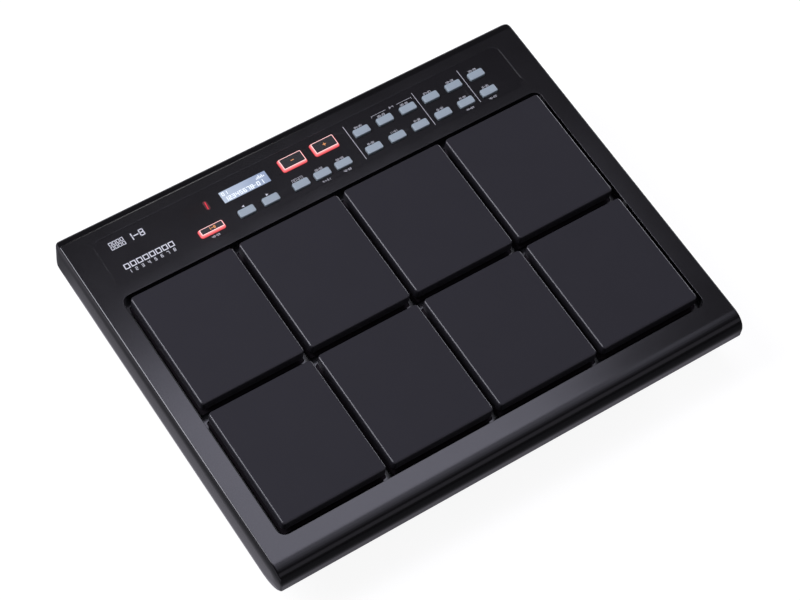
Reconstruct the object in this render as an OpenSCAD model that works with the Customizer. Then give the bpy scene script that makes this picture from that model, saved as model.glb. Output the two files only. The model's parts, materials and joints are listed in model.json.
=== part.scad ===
// Electronic percussion pad: a sloping black case with eight rubber pads in a well,
// a control strip behind them and a row of sockets under the rear edge.
// The deck frame has its origin at the middle of the well, x to the player's right,
// y towards the rear along the sloping deck and z square to the deck.

/* [Pads] */
// Width of one rubber pad
pad_w = 79.3; // [70:0.1:86]
// Depth of one rubber pad, front to rear
pad_d = 93.4; // [80:0.1:104]
// Corner radius of a pad
pad_corner_r = 4; // [2:0.5:8]
// Height of a pad's top above the deck
pad_rise = 4.8; // [2:0.1:7]
// Thickness of a pad's rubber
pad_t = 9; // [8:0.5:12]
// Gap between neighbouring pads, side to side
pad_gap_x = 4.8; // [4:0.1:8]
// Gap between the two rows of pads
pad_gap_y = 6.8; // [4:0.1:10]
// Gap between the pads and the sides of the well
well_gap_x = 4.3; // [3:0.1:7]
// Gap between the pads and the ends of the well
well_gap_y = 4.9; // [3:0.1:7]
// Corner radius of the well
well_corner_r = 6; // [5:0.5:9]
// Thickness of the steel plate under a pad
plate_t = 1.5; // [1:0.1:2.5]
// How far a plate stays inside its pad's edge
plate_inset = 2; // [1:0.5:5]
// Thickness of a foam cushion
foam_t = 4; // [3:0.5:6]
// How far a foam cushion stays inside its plate's edge
foam_inset = 2; // [1:0.5:6]
// Thickness of the pad tray
tray_t = 1.5; // [1:0.1:2.5]
// Radius of a sensor disc
disc_r = 13.5; // [10:0.5:17]
// Thickness of a sensor disc
disc_t = 0.6; // [0.4:0.1:1]

/* [Case] */
// Slope of the deck, in degrees
deck_tilt = 8.8; // [6:0.1:11]
// Height of the middle of the deck above the table
deck_h = 69; // [66:0.5:76]
// Thickness of the deck slab
deck_t = 31.5; // [28:0.5:34]
// Frame beside the well
frame_side = 15.3; // [12.5:0.05:20]
// Frame in front of the well, up to the nose
frame_front = 13.3; // [10:0.1:18]
// Depth of the control strip behind the well
strip_d = 54.2; // [52:0.1:62]
// Radius of the upper half of the nose
nose_r = 12; // [9:0.5:14]
// How far the front face reaches below the deck
chin_d = 18; // [15:0.1:22]
// Radius of the underside behind the front face
low_nose_r = 26; // [20:0.5:32]
// Radius of the rear edges
rear_r = 9; // [6:0.5:11]
// Thickness of the case's walls
wall = 3; // [2.5:0.1:3.6]
// Thickness of the collar under the well's edge
collar_t = 3; // [2:0.1:4]
// Lap of the top shell under the slab, at the front and rear
lip_w = 3; // [2:0.1:5]

/* [Control strip] */
// Frame beside the control sheet
sheet_side = 19.65; // [16:0.05:24]
// Distance from the well to the control sheet
sheet_front = 8.9; // [6:0.1:11]
// Distance from the control sheet to the rear crease
sheet_rear = 7.3; // [5:0.1:9]
// Corner radius of the control sheet
sheet_corner_r = 6; // [3:0.5:9]
// Thickness of the control sheet
sheet_t = 0.5; // [0.3:0.1:0.8]
// How far the control sheet lies below the deck
sheet_drop = 0.2; // [0:0.1:0.4]
// Width of the lit screen
screen_w = 37.2; // [33:0.1:40]
// Depth of the lit screen and of the digits' window
screen_d = 9.8; // [8:0.1:11]
// Place of the screen, side to side
screen_x = -52; // [-54:0.1:-50]
// Distance from the well to the middle of the screen
screen_row = 34.4; // [33:0.1:36]
// Frame round the screen's glass
screen_bezel = 2; // [1:0.1:2.5]
// Width of the digits' window
digit_w = 23; // [18:0.5:25]
// Place of the digits' window, side to side
digit_x = -89.5; // [-95:0.5:-89.5]
// Frame round the digits
digit_bezel = 1; // [0.6:0.1:1.4]

/* [Keys] */
// Width of a grey key
key_w = 12.4; // [10:0.1:13.5]
// Depth of a grey key
key_d = 6.2; // [5:0.1:7.5]
// Corner radius of a key
key_corner_r = 1.6; // [0.8:0.1:2.4]
// Height of a grey key above the deck
key_rise = 1.8; // [1:0.1:3]
// Travel of the keys and lit buttons
key_travel = 0.5; // [0.3:0.1:0.8]
// Width of the flange that holds a key in its hole
key_flange = 1; // [0.6:0.1:1.3]
// Thickness of that flange
flange_t = 1; // [0.6:0.1:1.6]
// Distance from the well to the front row of keys
row_front = 16.2; // [15.5:0.1:17]
// Distance from the well to the rear row of keys
row_rear = 32.4; // [31:0.1:34]
// Number of keys in each row of the right-hand bank
bank_n = 6; // [3:1:6]
// Place of the first key of the bank
bank_x = 42.3; // [41:0.1:44]
// Spacing of the keys in the bank
bank_pitch = 19.35; // [18:0.05:20]
// Place of the first key of the group of three
menu_x = -17.6; // [-18.5:0.1:-17]
// Spacing of the group of three
menu_pitch = 17.2; // [16.5:0.1:18]
// Place of the left cursor key
cursor_x = -61.4; // [-63:0.1:-60]
// Spacing of the cursor keys
cursor_pitch = 19.3; // [18:0.1:21]
// Width of a lit button, over its rim
lit_w = 19.3; // [17:0.1:20]
// Depth of the minus and plus buttons, over the rim
lit_d = 10.6; // [9:0.1:12]
// Depth of the mode button, over the rim
mode_d = 6.6; // [5.5:0.1:7.5]
// Width of a lit button's rim
lit_rim = 1.6; // [1:0.1:2]
// Height of the rim above the deck
rim_rise = 0.9; // [0.5:0.1:1.5]
// Height of a lit button's top above its rim
lit_step = 1.1; // [0.5:0.1:2]
// Place of the minus button
lit_x = -13; // [-14:0.1:-12.5]
// Spacing of the minus and plus buttons
lit_pitch = 26.3; // [25.5:0.1:27]
// Distance from the well to the minus and plus buttons
lit_row = 35.6; // [34.5:0.1:36.5]
// Place of the mode button
mode_x = -89.3; // [-91:0.1:-87]

/* [Lower case] */
// Width of the base
base_w = 304; // [290:1:310]
// Lean of the base's side walls, in degrees
side_lean = 13.8; // [8:0.1:15]
// Distance from the nose to the base's front edge
base_front = 31.8; // [28:0.1:40]
// Lean of the base's front wall, in degrees
front_lean = 21; // [10:1:24]
// Distance from the slab's rear to the rear wall
base_rear = 16.6; // [16:0.1:20]
// Thickness of the rear wall
rear_wall = 5; // [4.5:0.1:6]
// Height of a foot
foot_h = 5; // [4:0.5:8]
// Radius of a foot
foot_r = 9; // [6:0.5:12]
// Distance from the base's edges to the middle of a foot
foot_inset = 24; // [18:1:30]
// Spacing of the stand inserts, side to side
insert_dx = 72; // [50:1:90]
// Spacing of the stand inserts, front to rear
insert_dy = 54; // [40:1:70]
// Radius of a stand insert
insert_r = 3.6; // [3.2:0.1:4.5]
// Radius of the hole in a stand insert
insert_hole_r = 2.1; // [1.6:0.1:2.6]
// Length of a stand insert
insert_l = 9; // [7:0.5:12]

/* [Rear panel] */
// Width of the rear panel
panel_w = 300; // [290:1:302]
// Height of the rear panel
panel_h = 38; // [36:0.5:40]
// Distance from the base's underside to the rear panel
panel_lift = 6; // [5:0.5:8]
// Thickness of the rear panel
panel_t = 2; // [1.5:0.1:2.5]
// Lap of the rear panel on the case, at its ends
panel_lip_x = 10; // [8:0.5:11]
// Lap of the rear panel on the case, above and below
panel_lip_z = 2; // [1:0.1:3]
// Spacing of the phone jacks
jack_pitch = 18; // [17:0.1:19]
// Distance from the volume knob to the nearest phone jack
jack_x = 20; // [19:0.1:22]
// Number of phone jacks
jack_n = 6; // [1:1:6]
// Radius of a phone jack's hole
jack_hole_r = 3.2; // [3:0.05:3.4]
// Radius of a phone jack's threaded bush
bush_r = 4.5; // [4.2:0.1:4.8]
// How far the bush stands out of the panel
bush_out = 4; // [3:0.1:6]
// Width of a phone jack's body
jack_w = 15; // [12:0.5:17]
// Height of a phone jack's body
jack_h = 16; // [14:0.5:18]
// Length of a phone jack's body
jack_l = 26; // [22:0.5:30]
// Radius of a nut, over its corners
nut_r = 7; // [6:0.1:7.5]
// Thickness of a nut
nut_t = 2.2; // [1.5:0.1:3]
// Distance from the data socket to the nearer round socket
round_x = 20; // [18:0.5:22]
// Spacing of the round sockets
round_pitch = 24; // [22:0.5:26]
// Radius of the round socket's mouth
round_r = 7; // [6.5:0.1:7.4]
// Radius of the round socket's core
round_core_r = 5.2; // [4.8:0.1:5.6]
// Size of a round socket's body
round_body = 19; // [17:0.5:20]
// Length of a round socket's body
round_l = 14; // [12:0.5:18]
// Distance from the power button to the data socket
data_x = 18; // [17:0.5:20]
// Width of the data socket
data_w = 12; // [11:0.1:13]
// Height of the data socket
data_h = 11; // [10:0.1:12]
// Length of the data socket
data_l = 17; // [14:0.5:20]
// Distance from the power inlet to the power button
power_x = 18; // [17:0.5:20]
// Radius of the power button
power_r = 5; // [4:0.1:5.5]
// How far the power button stands out of the panel
power_out = 5; // [4:0.1:8]
// Travel of the power button
power_travel = 3; // [1:0.1:3.5]
// Size of the power switch's body
switch_body = 12; // [11:0.5:13]
// Length of the power switch's body
switch_l = 20; // [16:0.5:24]
// Distance from the rear panel's end to the power inlet
inlet_x = 24; // [22:0.5:26]
// Width of the power inlet
inlet_w = 9.5; // [9:0.1:11]
// Height of the power inlet
inlet_h = 11; // [10:0.1:12]
// Length of the power inlet
inlet_l = 14; // [12:0.5:18]
// Radius of the power inlet's hole
inlet_hole_r = 3.1; // [2.8:0.1:3.4]
// Radius of the power inlet's pin
inlet_pin_r = 1.05; // [0.8:0.05:1.3]
// Distance from the rear panel's other end to the volume knob
volume_x = 24; // [22:0.5:26]
// Radius of the volume knob
knob_r = 7.5; // [6:0.1:8.5]
// Length of the volume knob
knob_l = 10; // [8:0.1:10.5]
// Radius of the volume shaft
shaft_r = 3; // [2.5:0.1:3.2]
// Radius of the volume control's bush
pot_bush_r = 4; // [3.8:0.1:4.4]
// Radius of the volume control's can
pot_r = 8.5; // [7.5:0.1:9]
// Length of the volume control's can
pot_l = 9; // [7:0.5:12]

/* [Boards and screws] */
// Thickness of the circuit boards
board_t = 1.6; // [1:0.1:2]
// Height of the main board above the base's floor
board_lift = 13.4; // [11:0.1:14]
// Width of the main board
board_w = 274; // [268:1:278]
// Depth of the main board
board_d = 74; // [50:1:90]
// Size of a small switch's body
tact_w = 6; // [4.5:0.1:6.5]
// Height of a small switch's body
tact_h = 3.4; // [2.5:0.1:5]
// Radius of a small switch's plunger
plunger_r = 1.7; // [1:0.1:2]
// Height of a small switch's plunger
plunger_h = 1; // [0.5:0.1:2]
// Frame of the panel board round the outermost keys
panel_board_edge = 16; // [13:0.5:18]
// Radius of a screw's shank
screw_r = 1.5; // [1.2:0.1:1.6]
// Length of a screw's shank
screw_l = 7; // [6.5:0.1:7.4]
// Radius of a screw's head
head_r = 2.8; // [2.4:0.1:3]
// Thickness of a screw's head
head_t = 1.8; // [1.2:0.1:2.2]
// Radius of the bosses that take the screws
boss_r = 3.2; // [2.8:0.1:3.6]

/* [Clearances] */
// Gap round pieces that move
move_gap = 0.3; // [0.25:0.05:0.4]
// Gap round pieces that are fitted by hand
fit_gap = 0.3; // [0.2:0.05:0.4]
// Gap between a turning shaft and its bush
run_gap = 0.05; // [0.02:0.01:0.1]
// Gap between a screw or an insert and its hole
thread_gap = 0.05; // [0.02:0.01:0.1]

/* [Hidden] */
$fn = 48;
// Overshoot of a cut past a face
cut = 1;
screw_hole_r = screw_r + thread_gap;
pad_cols = 4;
pad_rows = 2;
pad_n = pad_cols * pad_rows;

// The deck, seen from above
pitch_x = pad_w + pad_gap_x;
pitch_y = pad_d + pad_gap_y;
well_w = pad_cols * pitch_x - pad_gap_x + 2 * well_gap_x;
well_d = pad_rows * pitch_y - pad_gap_y + 2 * well_gap_y;
body_w = well_w + 2 * frame_side;
nose_y = -well_d / 2 - frame_front;
crease_y = well_d / 2 + strip_d;
nose_front = nose_y - nose_r;
low_nose_z = low_nose_r - deck_t;
low_nose_reach = sqrt(pow(low_nose_r, 2) - pow(chin_d + low_nose_z, 2));
low_nose_y = nose_front + round(100 * low_nose_reach) / 100;
mouth_front = low_nose_y - lip_w / 2;
mouth_rear = crease_y - lip_w;
mouth_y = (mouth_front + mouth_rear) / 2;
mouth_w = body_w - 2 * wall;
mouth_d = mouth_rear - mouth_front;

// Levels square to the deck
pad_bottom = pad_rise - pad_t;
plate_bottom = pad_bottom - plate_t;
foam_top = plate_bottom - move_gap;
tray_top = foam_top - foam_t;
tray_bottom = tray_top - tray_t;
sheet_top = -sheet_drop;
sheet_bottom = sheet_top - sheet_t;
flange_top = -wall - move_gap;
flange_bottom = flange_top - flange_t;
plunger_top = flange_bottom - key_travel - move_gap;
panel_board_top = plunger_top - plunger_h - tact_h;
panel_board_bottom = panel_board_top - board_t;
slab_floor = wall - deck_t;

// The displays, over their frames
screen_body_w = screen_w + 2 * screen_bezel;
screen_body_d = screen_d + 2 * screen_bezel;
digit_body_w = digit_w + 2 * digit_bezel;
digit_body_d = screen_d + 2 * digit_bezel;

// The tray and the panel board, seen from above
tray_boss_y = well_d / 2 + collar_t + boss_r / 2;
tray_w = well_w + 2 * collar_t;
tray_d = 2 * (tray_boss_y + boss_r);
tray_boss_x = 1.5 * pitch_x;
panel_board_x0 = mode_x - lit_w / 2 - panel_board_edge;
panel_board_x1 = bank_x + (bank_n - 1) * bank_pitch + key_w / 2 + panel_board_edge;
panel_board_y0 = tray_d / 2 + cut;
panel_board_y1 = crease_y - sheet_rear;
panel_boss_xy = [for (x = [panel_board_x0 + boss_r + cut, panel_board_x1 - boss_r - cut])
                 for (y = [panel_board_y0 + boss_r + cut, panel_board_y1 - boss_r - cut]) [x, y]];
tray_boss_xy = [for (x = [-tray_boss_x, 0, tray_boss_x]) for (y = [-tray_boss_y, tray_boss_y]) [x, y]];
case_boss_x = (well_w / 2 + collar_t + body_w / 2 - wall) / 2;
case_boss_y = [-pitch_y + boss_r, 0, panel_board_y1 - boss_r];
case_boss_xy = [for (x = [-case_boss_x, case_boss_x]) for (y = case_boss_y) [x, y]];

// The case on the table: the origin lies under the middle of its outline
slope_c = cos(deck_tilt);
slope_s = sin(deck_tilt);
front_reach = nose_y * slope_c + nose_r * slope_s - nose_r;
rear_reach = crease_y * slope_c + (deck_t - rear_r) * slope_s + rear_r;
deck_y = -(front_reach + rear_reach) / 2;
case_rear = deck_y + rear_reach;
base_y0 = deck_y + front_reach + base_front;
base_y1 = case_rear - base_rear;
panel_in = base_y1 - panel_t;
base_floor = foot_h + wall;
board_bottom = base_floor + board_lift;
board_top = board_bottom + board_t;
board_y1 = base_y1 - rear_wall - fit_gap;
board_y0 = board_y1 - board_d;
board_boss_xy = [for (x = [-1, 1] * (board_w / 2 - boss_r - cut))
                 for (y = [board_y0 + boss_r + cut, panel_in - jack_l - boss_r - cut]) [x, y]];
foot_xy = [for (x = [-1, 1] * (base_w / 2 - foot_inset))
           for (y = [base_y0 + foot_inset, base_y1 - foot_inset]) [x, y]];
insert_xy = [for (x = [-1, 1] * insert_dx / 2) for (y = [-1, 1] * insert_dy / 2) [x, y]];
insert_boss_r = insert_r + wall;

// The rear panel and what is on it
panel_z0 = foot_h + panel_lift;
volume_at = volume_x - panel_w / 2;
inlet_at = panel_w / 2 - inlet_x;
power_at = inlet_at - power_x;
data_at = power_at - data_x;
panel_screw_xz = [for (x = [-1, 1] * (panel_w - panel_lip_x) / 2)
                  for (z = [panel_z0 + 2 * head_r, panel_z0 + panel_h - 2 * head_r]) [x, z]];
jack_xs = [for (i = [0:jack_n - 1]) volume_at + jack_x + i * jack_pitch];
jack_z = board_top + jack_h / 2;
jack_bore = jack_l - wall;
round_xs = [for (i = [0, 1]) data_at - round_x - i * round_pitch];
round_z = board_top + round_body / 2;
round_face_r = round_r + cut;
round_depth = 9;
round_pin_r = 0.75;
round_pin_ring = 3.4;
round_pins = 5;
data_z = board_top + data_h / 2;
data_wall = 1.7;
data_depth = 9;
data_tongue_w = 5.6;
data_tongue_t = 2.6;
inlet_z = board_top + inlet_h / 2;
inlet_nose_r = inlet_hole_r + cut;
inlet_depth = 9.5;
power_z = board_top + switch_body / 2;
power_stem_r = 3;
power_cap_in = panel_t + cut;
switch_face = base_y1 - power_cap_in - power_travel - move_gap;
stem_l = switch_l / 2;
pot_z = board_top + pot_r + fit_gap;
pot_bush_out = nut_t + cut;
knob_y0 = base_y1 + pot_bush_out + fit_gap;
knob_bore = knob_l - 2;
shaft_in = pot_l - 2;
grip_n = 18;
grip_r = 0.5;

// The keys: name, place, distance from the well and size
GREY_KEYS = concat(
    [for (i = [0, 1]) [["cursor_left_key", "cursor_right_key"][i], cursor_x + i * cursor_pitch, row_front]],
    [for (i = [0:2]) [str("menu_key_", i + 1), menu_x + i * menu_pitch, row_front]],
    [for (i = [0:bank_n - 1]) [str("rear_key_", i + 1), bank_x + i * bank_pitch, row_rear]],
    [for (i = [0:bank_n - 1]) [str("front_key_", i + 1), bank_x + i * bank_pitch, row_front]]);
LIT_BUTTONS = [["mode_button", mode_x, row_front, mode_d],
               ["minus_button", lit_x, lit_row, lit_d],
               ["plus_button", lit_x + lit_pitch, lit_row, lit_d]];
KEY_PLACES = concat([for (k = GREY_KEYS) [k[1], k[2], key_w, key_d]],
                    [for (b = LIT_BUTTONS) [b[1], b[2], lit_w, b[3]]]);

// Placing

// Puts the deck frame on its slope
module on_deck() {
    translate([0, deck_y, deck_h]) rotate([deck_tilt, 0, 0]) children();
}

// Puts a place of the control strip at its distance behind the well
module on_strip(x, row) {
    translate([x, well_d / 2 + row, 0]) children();
}

// Puts the middle of each pad in turn, the rear row first
module at_pad(i) {
    col = i % pad_cols;
    row = floor(i / pad_cols);
    translate([(col - (pad_cols - 1) / 2) * pitch_x, ((pad_rows - 1) / 2 - row) * pitch_y, 0]) children();
}

// Turns an upright shape to point out of the rear panel, with its foot on the plane y
module facing_rear(x, y, z) {
    translate([x, y, z]) rotate([-90, 0, 0]) children();
}

// Shapes

// Rectangle with round corners, about its middle
module round_rect(w, d, r) {
    square([w - 2 * r, d], center = true);
    square([w, d - 2 * r], center = true);
    for (x = [-1, 1] * (w / 2 - r)) for (y = [-1, 1] * (d / 2 - r)) translate([x, y]) circle(r);
}

// Upright block with round corners between two levels
module slab(w, d, r, low, high) {
    translate([0, 0, low]) linear_extrude(high - low) round_rect(w, d, r);
}

// Box about an upright axis between two levels
module block(w, d, low, high) {
    translate([-w / 2, -d / 2, low]) cube([w, d, high - low]);
}

// Upright round post, or hole, between two levels
module post(low, high, r) {
    translate([0, 0, low]) cylinder(h = high - low, r = r);
}

// Quarter of a disc, with its corner at the middle and its arms along the given signs
module quarter(r, sx, sy) {
    intersection() {
        circle(r);
        translate([min(0, sx * 2 * r), min(0, sy * 2 * r)]) square(2 * r);
    }
}

// Side outline of the deck slab, drawn in by an inset
module slab_outline(inset) {
    low = inset - deck_t;
    rear_low = rear_r - deck_t;
    low_r = low_nose_r - inset;
    front = nose_front + inset;
    reach = low_nose_y - front;
    translate([nose_y, -nose_r]) quarter(nose_r - inset, -1, 1);
    translate([low_nose_y, low_nose_z]) intersection() {
        circle(low_r);
        translate([-reach, -2 * low_r]) square([reach, 2 * low_r - nose_r - low_nose_z]);
    }
    translate([nose_y, -nose_r]) square([crease_y - nose_y, nose_r - inset]);
    translate([low_nose_y, low]) square([crease_y - low_nose_y, -nose_r - low]);
    translate([crease_y, -rear_r]) quarter(rear_r - inset, 1, 1);
    translate([crease_y, rear_low]) quarter(rear_r - inset, 1, -1);
    translate([crease_y, rear_low]) square([rear_r - inset, deck_t - 2 * rear_r]);
}

// Slab of a given width with that outline
module deck_slab(w, inset) {
    rotate([90, 0, 90]) linear_extrude(w, center = true) slab_outline(inset);
}

// Outline of the well
module well_outline() {
    round_rect(well_w, well_d, well_corner_r);
}

// Outline of the control sheet, grown by a gap
module sheet_outline(gap) {
    front = well_d / 2 + sheet_front;
    rear = crease_y - sheet_rear;
    translate([0, (front + rear) / 2])
        round_rect(body_w - 2 * sheet_side + 2 * gap, rear - front + 2 * gap, sheet_corner_r + gap);
}

// Holes for all keys and lit buttons, from a level up through the deck
module key_holes(low) {
    for (k = KEY_PLACES) on_strip(k[0], k[1])
        slab(k[2] + 2 * move_gap, k[3] + 2 * move_gap, key_corner_r + move_gap, low, cut);
}

// Wedge of the lower case with leaning sides, drawn in by an inset and a rear inset
module base_wedge(inset, rear_inset, low) {
    rise = deck_h;
    side = (rise - foot_h) * tan(side_lean);
    lean = (rise - foot_h) * tan(front_lean);
    half = base_w / 2 - inset;
    low_side = (low - foot_h) * tan(side_lean);
    low_lean = (low - foot_h) * tan(front_lean);
    front = base_y0 + inset;
    rear = base_y1 - rear_inset;
    intersection() {
        rotate([90, 0, 90]) linear_extrude(2 * body_w, center = true)
            polygon([[front - low_lean, low], [rear, low], [rear, rise], [front - lean, rise]]);
        translate([0, case_rear, 0]) rotate([90, 0, 0]) linear_extrude(2 * body_w, center = true)
            polygon([[-half - low_side, low], [half + low_side, low],
                     [half + side, rise], [-half - side, rise]]);
    }
}

// Case pieces

// Upper shell: nose, cheeks, well and control strip
module top_shell() {
    color("#2b2a2e") on_deck() difference() {
        union() {
            difference() {
                deck_slab(body_w, 0);
                deck_slab(mouth_w, wall);
                translate([0, mouth_y, 0])
                    block(mouth_w, mouth_d, -deck_t - cut, slab_floor + cut);
            }
            block(tray_w, well_d + 2 * collar_t, tray_top, -wall / 2);
            for (p = tray_boss_xy) translate(p) post(tray_top, -wall / 2, boss_r);
            for (p = panel_boss_xy) translate(p) post(panel_board_top, -wall / 2, boss_r);
            for (p = case_boss_xy) translate(p) post(slab_floor, -wall / 2, boss_r);
        }
        translate([0, 0, tray_top - cut]) linear_extrude(cut - tray_top + cut) well_outline();
        translate([0, 0, sheet_bottom]) linear_extrude(cut - sheet_bottom) sheet_outline(fit_gap);
        key_holes(-wall - cut);
        on_strip(screen_x, screen_row)
            block(screen_body_w + 2 * fit_gap, screen_body_d + 2 * fit_gap, -wall - cut, cut);
        on_strip(digit_x, screen_row)
            block(digit_body_w + 2 * fit_gap, digit_body_d + 2 * fit_gap, -wall - cut, cut);
        for (p = tray_boss_xy) translate(p)
            post(tray_top - cut, tray_bottom + screw_l + fit_gap, screw_hole_r);
        for (p = panel_boss_xy) translate(p)
            post(panel_board_top - cut, panel_board_bottom + screw_l + fit_gap, screw_hole_r);
        for (p = case_boss_xy) translate(p)
            post(slab_floor - cut, -deck_t + screw_l + fit_gap, screw_hole_r);
    }
}

// Lower shell: flange under the slab, wedge, base, posts and the recess of the rear panel
module bottom_shell() {
    color("#1f1f21") difference() {
        union() {
            difference() {
                base_wedge(0, 0, foot_h);
                on_deck() block(2 * body_w, 2 * body_w, slab_floor - cut, deck_h);
                base_wedge(wall, rear_wall, base_floor);
                on_deck() for (p = case_boss_xy) translate(p)
                    post(-2 * deck_t, slab_floor, head_r + fit_gap);
            }
            difference() {
                on_deck() translate([0, mouth_y, 0])
                    block(mouth_w - 2 * fit_gap, mouth_d - 2 * fit_gap, -deck_t, slab_floor);
                base_wedge(wall, rear_wall, base_floor);
                on_deck() for (p = case_boss_xy) translate(p)
                    post(-deck_t - cut, slab_floor + cut, screw_hole_r);
            }
            for (p = board_boss_xy) translate(p) post(foot_h + cut, board_bottom, boss_r);
            for (p = insert_xy) translate(p) post(foot_h + cut, foot_h + insert_l + wall, insert_boss_r);
        }
        for (p = board_boss_xy) translate(p)
            post(board_top - screw_l - fit_gap, board_bottom + cut, screw_hole_r);
        for (p = insert_xy) translate(p) post(foot_h - cut, foot_h + insert_l, insert_r + thread_gap);
        translate([-panel_w / 2 - fit_gap, panel_in, panel_z0 - fit_gap])
            cube([panel_w + 2 * fit_gap, panel_t + cut, panel_h + 2 * fit_gap]);
        translate([panel_lip_x - panel_w / 2, base_y1 - rear_wall - cut, panel_z0 + panel_lip_z])
            cube([panel_w - 2 * panel_lip_x, rear_wall + cut, panel_h - 2 * panel_lip_z]);
        for (p = panel_screw_xz) facing_rear(p[0], panel_in - screw_l - cut, p[1])
            cylinder(h = screw_l + 2 * cut, r = screw_hole_r);
    }
}

// Steel rear panel with a hole for each socket and control
module rear_panel() {
    depth = panel_t + 2 * cut;
    color("#26262a") difference() {
        translate([-panel_w / 2, panel_in, panel_z0]) cube([panel_w, panel_t, panel_h]);
        for (x = jack_xs) facing_rear(x, panel_in - cut, jack_z)
            cylinder(h = depth, r = bush_r + thread_gap);
        for (x = round_xs) facing_rear(x, panel_in - cut, round_z)
            cylinder(h = depth, r = round_face_r + thread_gap);
        facing_rear(data_at, panel_in - cut, data_z)
            block(data_w + 2 * fit_gap, data_h + 2 * fit_gap, 0, depth);
        facing_rear(power_at, panel_in - cut, power_z) cylinder(h = depth, r = power_r + move_gap);
        facing_rear(inlet_at, panel_in - cut, inlet_z) cylinder(h = depth, r = inlet_nose_r + thread_gap);
        facing_rear(volume_at, panel_in - cut, pot_z) cylinder(h = depth, r = pot_bush_r + thread_gap);
        for (p = panel_screw_xz) facing_rear(p[0], panel_in - cut, p[1])
            cylinder(h = depth, r = screw_hole_r);
    }
}

// Four rubber feet
module feet() {
    color("#151515") for (p = foot_xy) translate(p) {
        cylinder(h = foot_h / 2, r1 = foot_r - cut, r2 = foot_r);
        translate([0, 0, foot_h / 2]) cylinder(h = foot_h / 2, r = foot_r);
    }
}

// Four threaded inserts for a stand's plate
module stand_inserts() {
    color("#b58d3d") for (p = insert_xy) translate(p) difference() {
        post(foot_h, foot_h + insert_l, insert_r);
        post(foot_h - cut, foot_h + insert_l + cut, insert_hole_r);
    }
}

// One screw with a cross recess, its shank pointing up and its head below the level 0
module screw() {
    recess = head_t / 2;
    cylinder(h = screw_l, r = screw_r);
    difference() {
        translate([0, 0, -head_t]) cylinder(h = head_t, r = head_r);
        for (a = [0, 90]) rotate(a) block(head_r, head_r / 4, -head_t - cut, recess - head_t);
    }
}

// All screws: case, tray, panel board, main board and rear panel
module screws() {
    color("#55565a") {
        on_deck() for (p = case_boss_xy) translate([p[0], p[1], -deck_t]) screw();
        on_deck() for (p = tray_boss_xy) translate([p[0], p[1], tray_bottom]) screw();
        on_deck() for (p = panel_boss_xy) translate([p[0], p[1], panel_board_bottom]) screw();
        for (p = board_boss_xy) translate([p[0], p[1], board_top]) rotate([180, 0, 0]) screw();
        for (p = panel_screw_xz) translate([p[0], base_y1, p[1]]) rotate([90, 0, 0]) screw();
    }
}

// Pads

// One rubber pad
module pad(i) {
    color("#3a393d") on_deck() at_pad(i) slab(pad_w, pad_d, pad_corner_r, pad_bottom, pad_rise);
}

// Steel plate under one pad
module pad_plate(i) {
    color("#8f9296") on_deck() at_pad(i)
        slab(pad_w - 2 * plate_inset, pad_d - 2 * plate_inset, pad_corner_r, plate_bottom, pad_bottom);
}

// Foam cushions between the plates and the tray
module pad_foams() {
    inset = plate_inset + foam_inset;
    color("#1a1a1a") on_deck() for (i = [0:pad_n - 1]) at_pad(i)
        slab(pad_w - 2 * inset, pad_d - 2 * inset, pad_corner_r, tray_top, foam_top);
}

// Steel tray that closes the well and carries the cushions
module pad_tray() {
    color("#1d1d20") on_deck() difference() {
        block(tray_w, tray_d, tray_bottom, tray_top);
        for (p = tray_boss_xy) translate(p) post(tray_bottom - cut, tray_top + cut, screw_hole_r);
    }
}

// Sensor disc under the tray below each pad
module sensor_discs() {
    color("#c8a24a") on_deck() for (i = [0:pad_n - 1]) at_pad(i)
        post(tray_bottom - disc_t, tray_bottom, disc_r);
}

// Control strip

// Printed sheet with holes for the keys and windows for the displays
module control_panel() {
    color("#262529") on_deck() difference() {
        translate([0, 0, sheet_bottom]) linear_extrude(sheet_t) sheet_outline(0);
        key_holes(sheet_bottom - cut);
        on_strip(screen_x, screen_row) block(screen_w, screen_d, sheet_bottom - cut, cut);
        on_strip(digit_x, screen_row) block(digit_w, screen_d, sheet_bottom - cut, cut);
    }
}

// Lit screen on the panel board
module screen_module() {
    color("#d9dcf2") on_deck() on_strip(screen_x, screen_row)
        block(screen_body_w, screen_body_d, panel_board_top, sheet_bottom);
}

// Red digits on the panel board
module digit_module() {
    color("#3a0d12") on_deck() on_strip(digit_x, screen_row)
        block(digit_body_w, digit_body_d, panel_board_top, sheet_bottom);
}

// Circuit board of the strip with a small switch under each key
module panel_board() {
    color("#1f5a3a") on_deck() difference() {
        union() {
            translate([panel_board_x0, panel_board_y0, panel_board_bottom])
                cube([panel_board_x1 - panel_board_x0, panel_board_y1 - panel_board_y0, board_t]);
            for (k = KEY_PLACES) on_strip(k[0], k[1]) {
                block(tact_w, tact_w, panel_board_bottom, panel_board_top + tact_h);
                post(panel_board_top, plunger_top, plunger_r);
            }
        }
        for (p = panel_boss_xy) translate(p)
            post(panel_board_bottom - cut, panel_board_top + cut, screw_hole_r);
    }
}

// One grey key with its flange
module grey_key(k) {
    color("#a9b8c6") on_deck() on_strip(k[1], k[2]) {
        slab(key_w, key_d, key_corner_r, flange_top - flange_t / 2, key_rise);
        slab(key_w + 2 * key_flange, key_d + 2 * key_flange, key_corner_r, flange_bottom, flange_top);
    }
}

// One lit button: a glowing rim with a raised top
module lit_button(b) {
    color("#c8404a") on_deck() on_strip(b[1], b[2]) {
        slab(lit_w, b[3], key_corner_r, flange_top - flange_t / 2, rim_rise);
        slab(lit_w - 2 * lit_rim, b[3] - 2 * lit_rim, key_corner_r / 2, 0, rim_rise + lit_step);
        slab(lit_w + 2 * key_flange, b[3] + 2 * key_flange, key_corner_r, flange_bottom, flange_top);
    }
}

// Rear panel's sockets and controls

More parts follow.
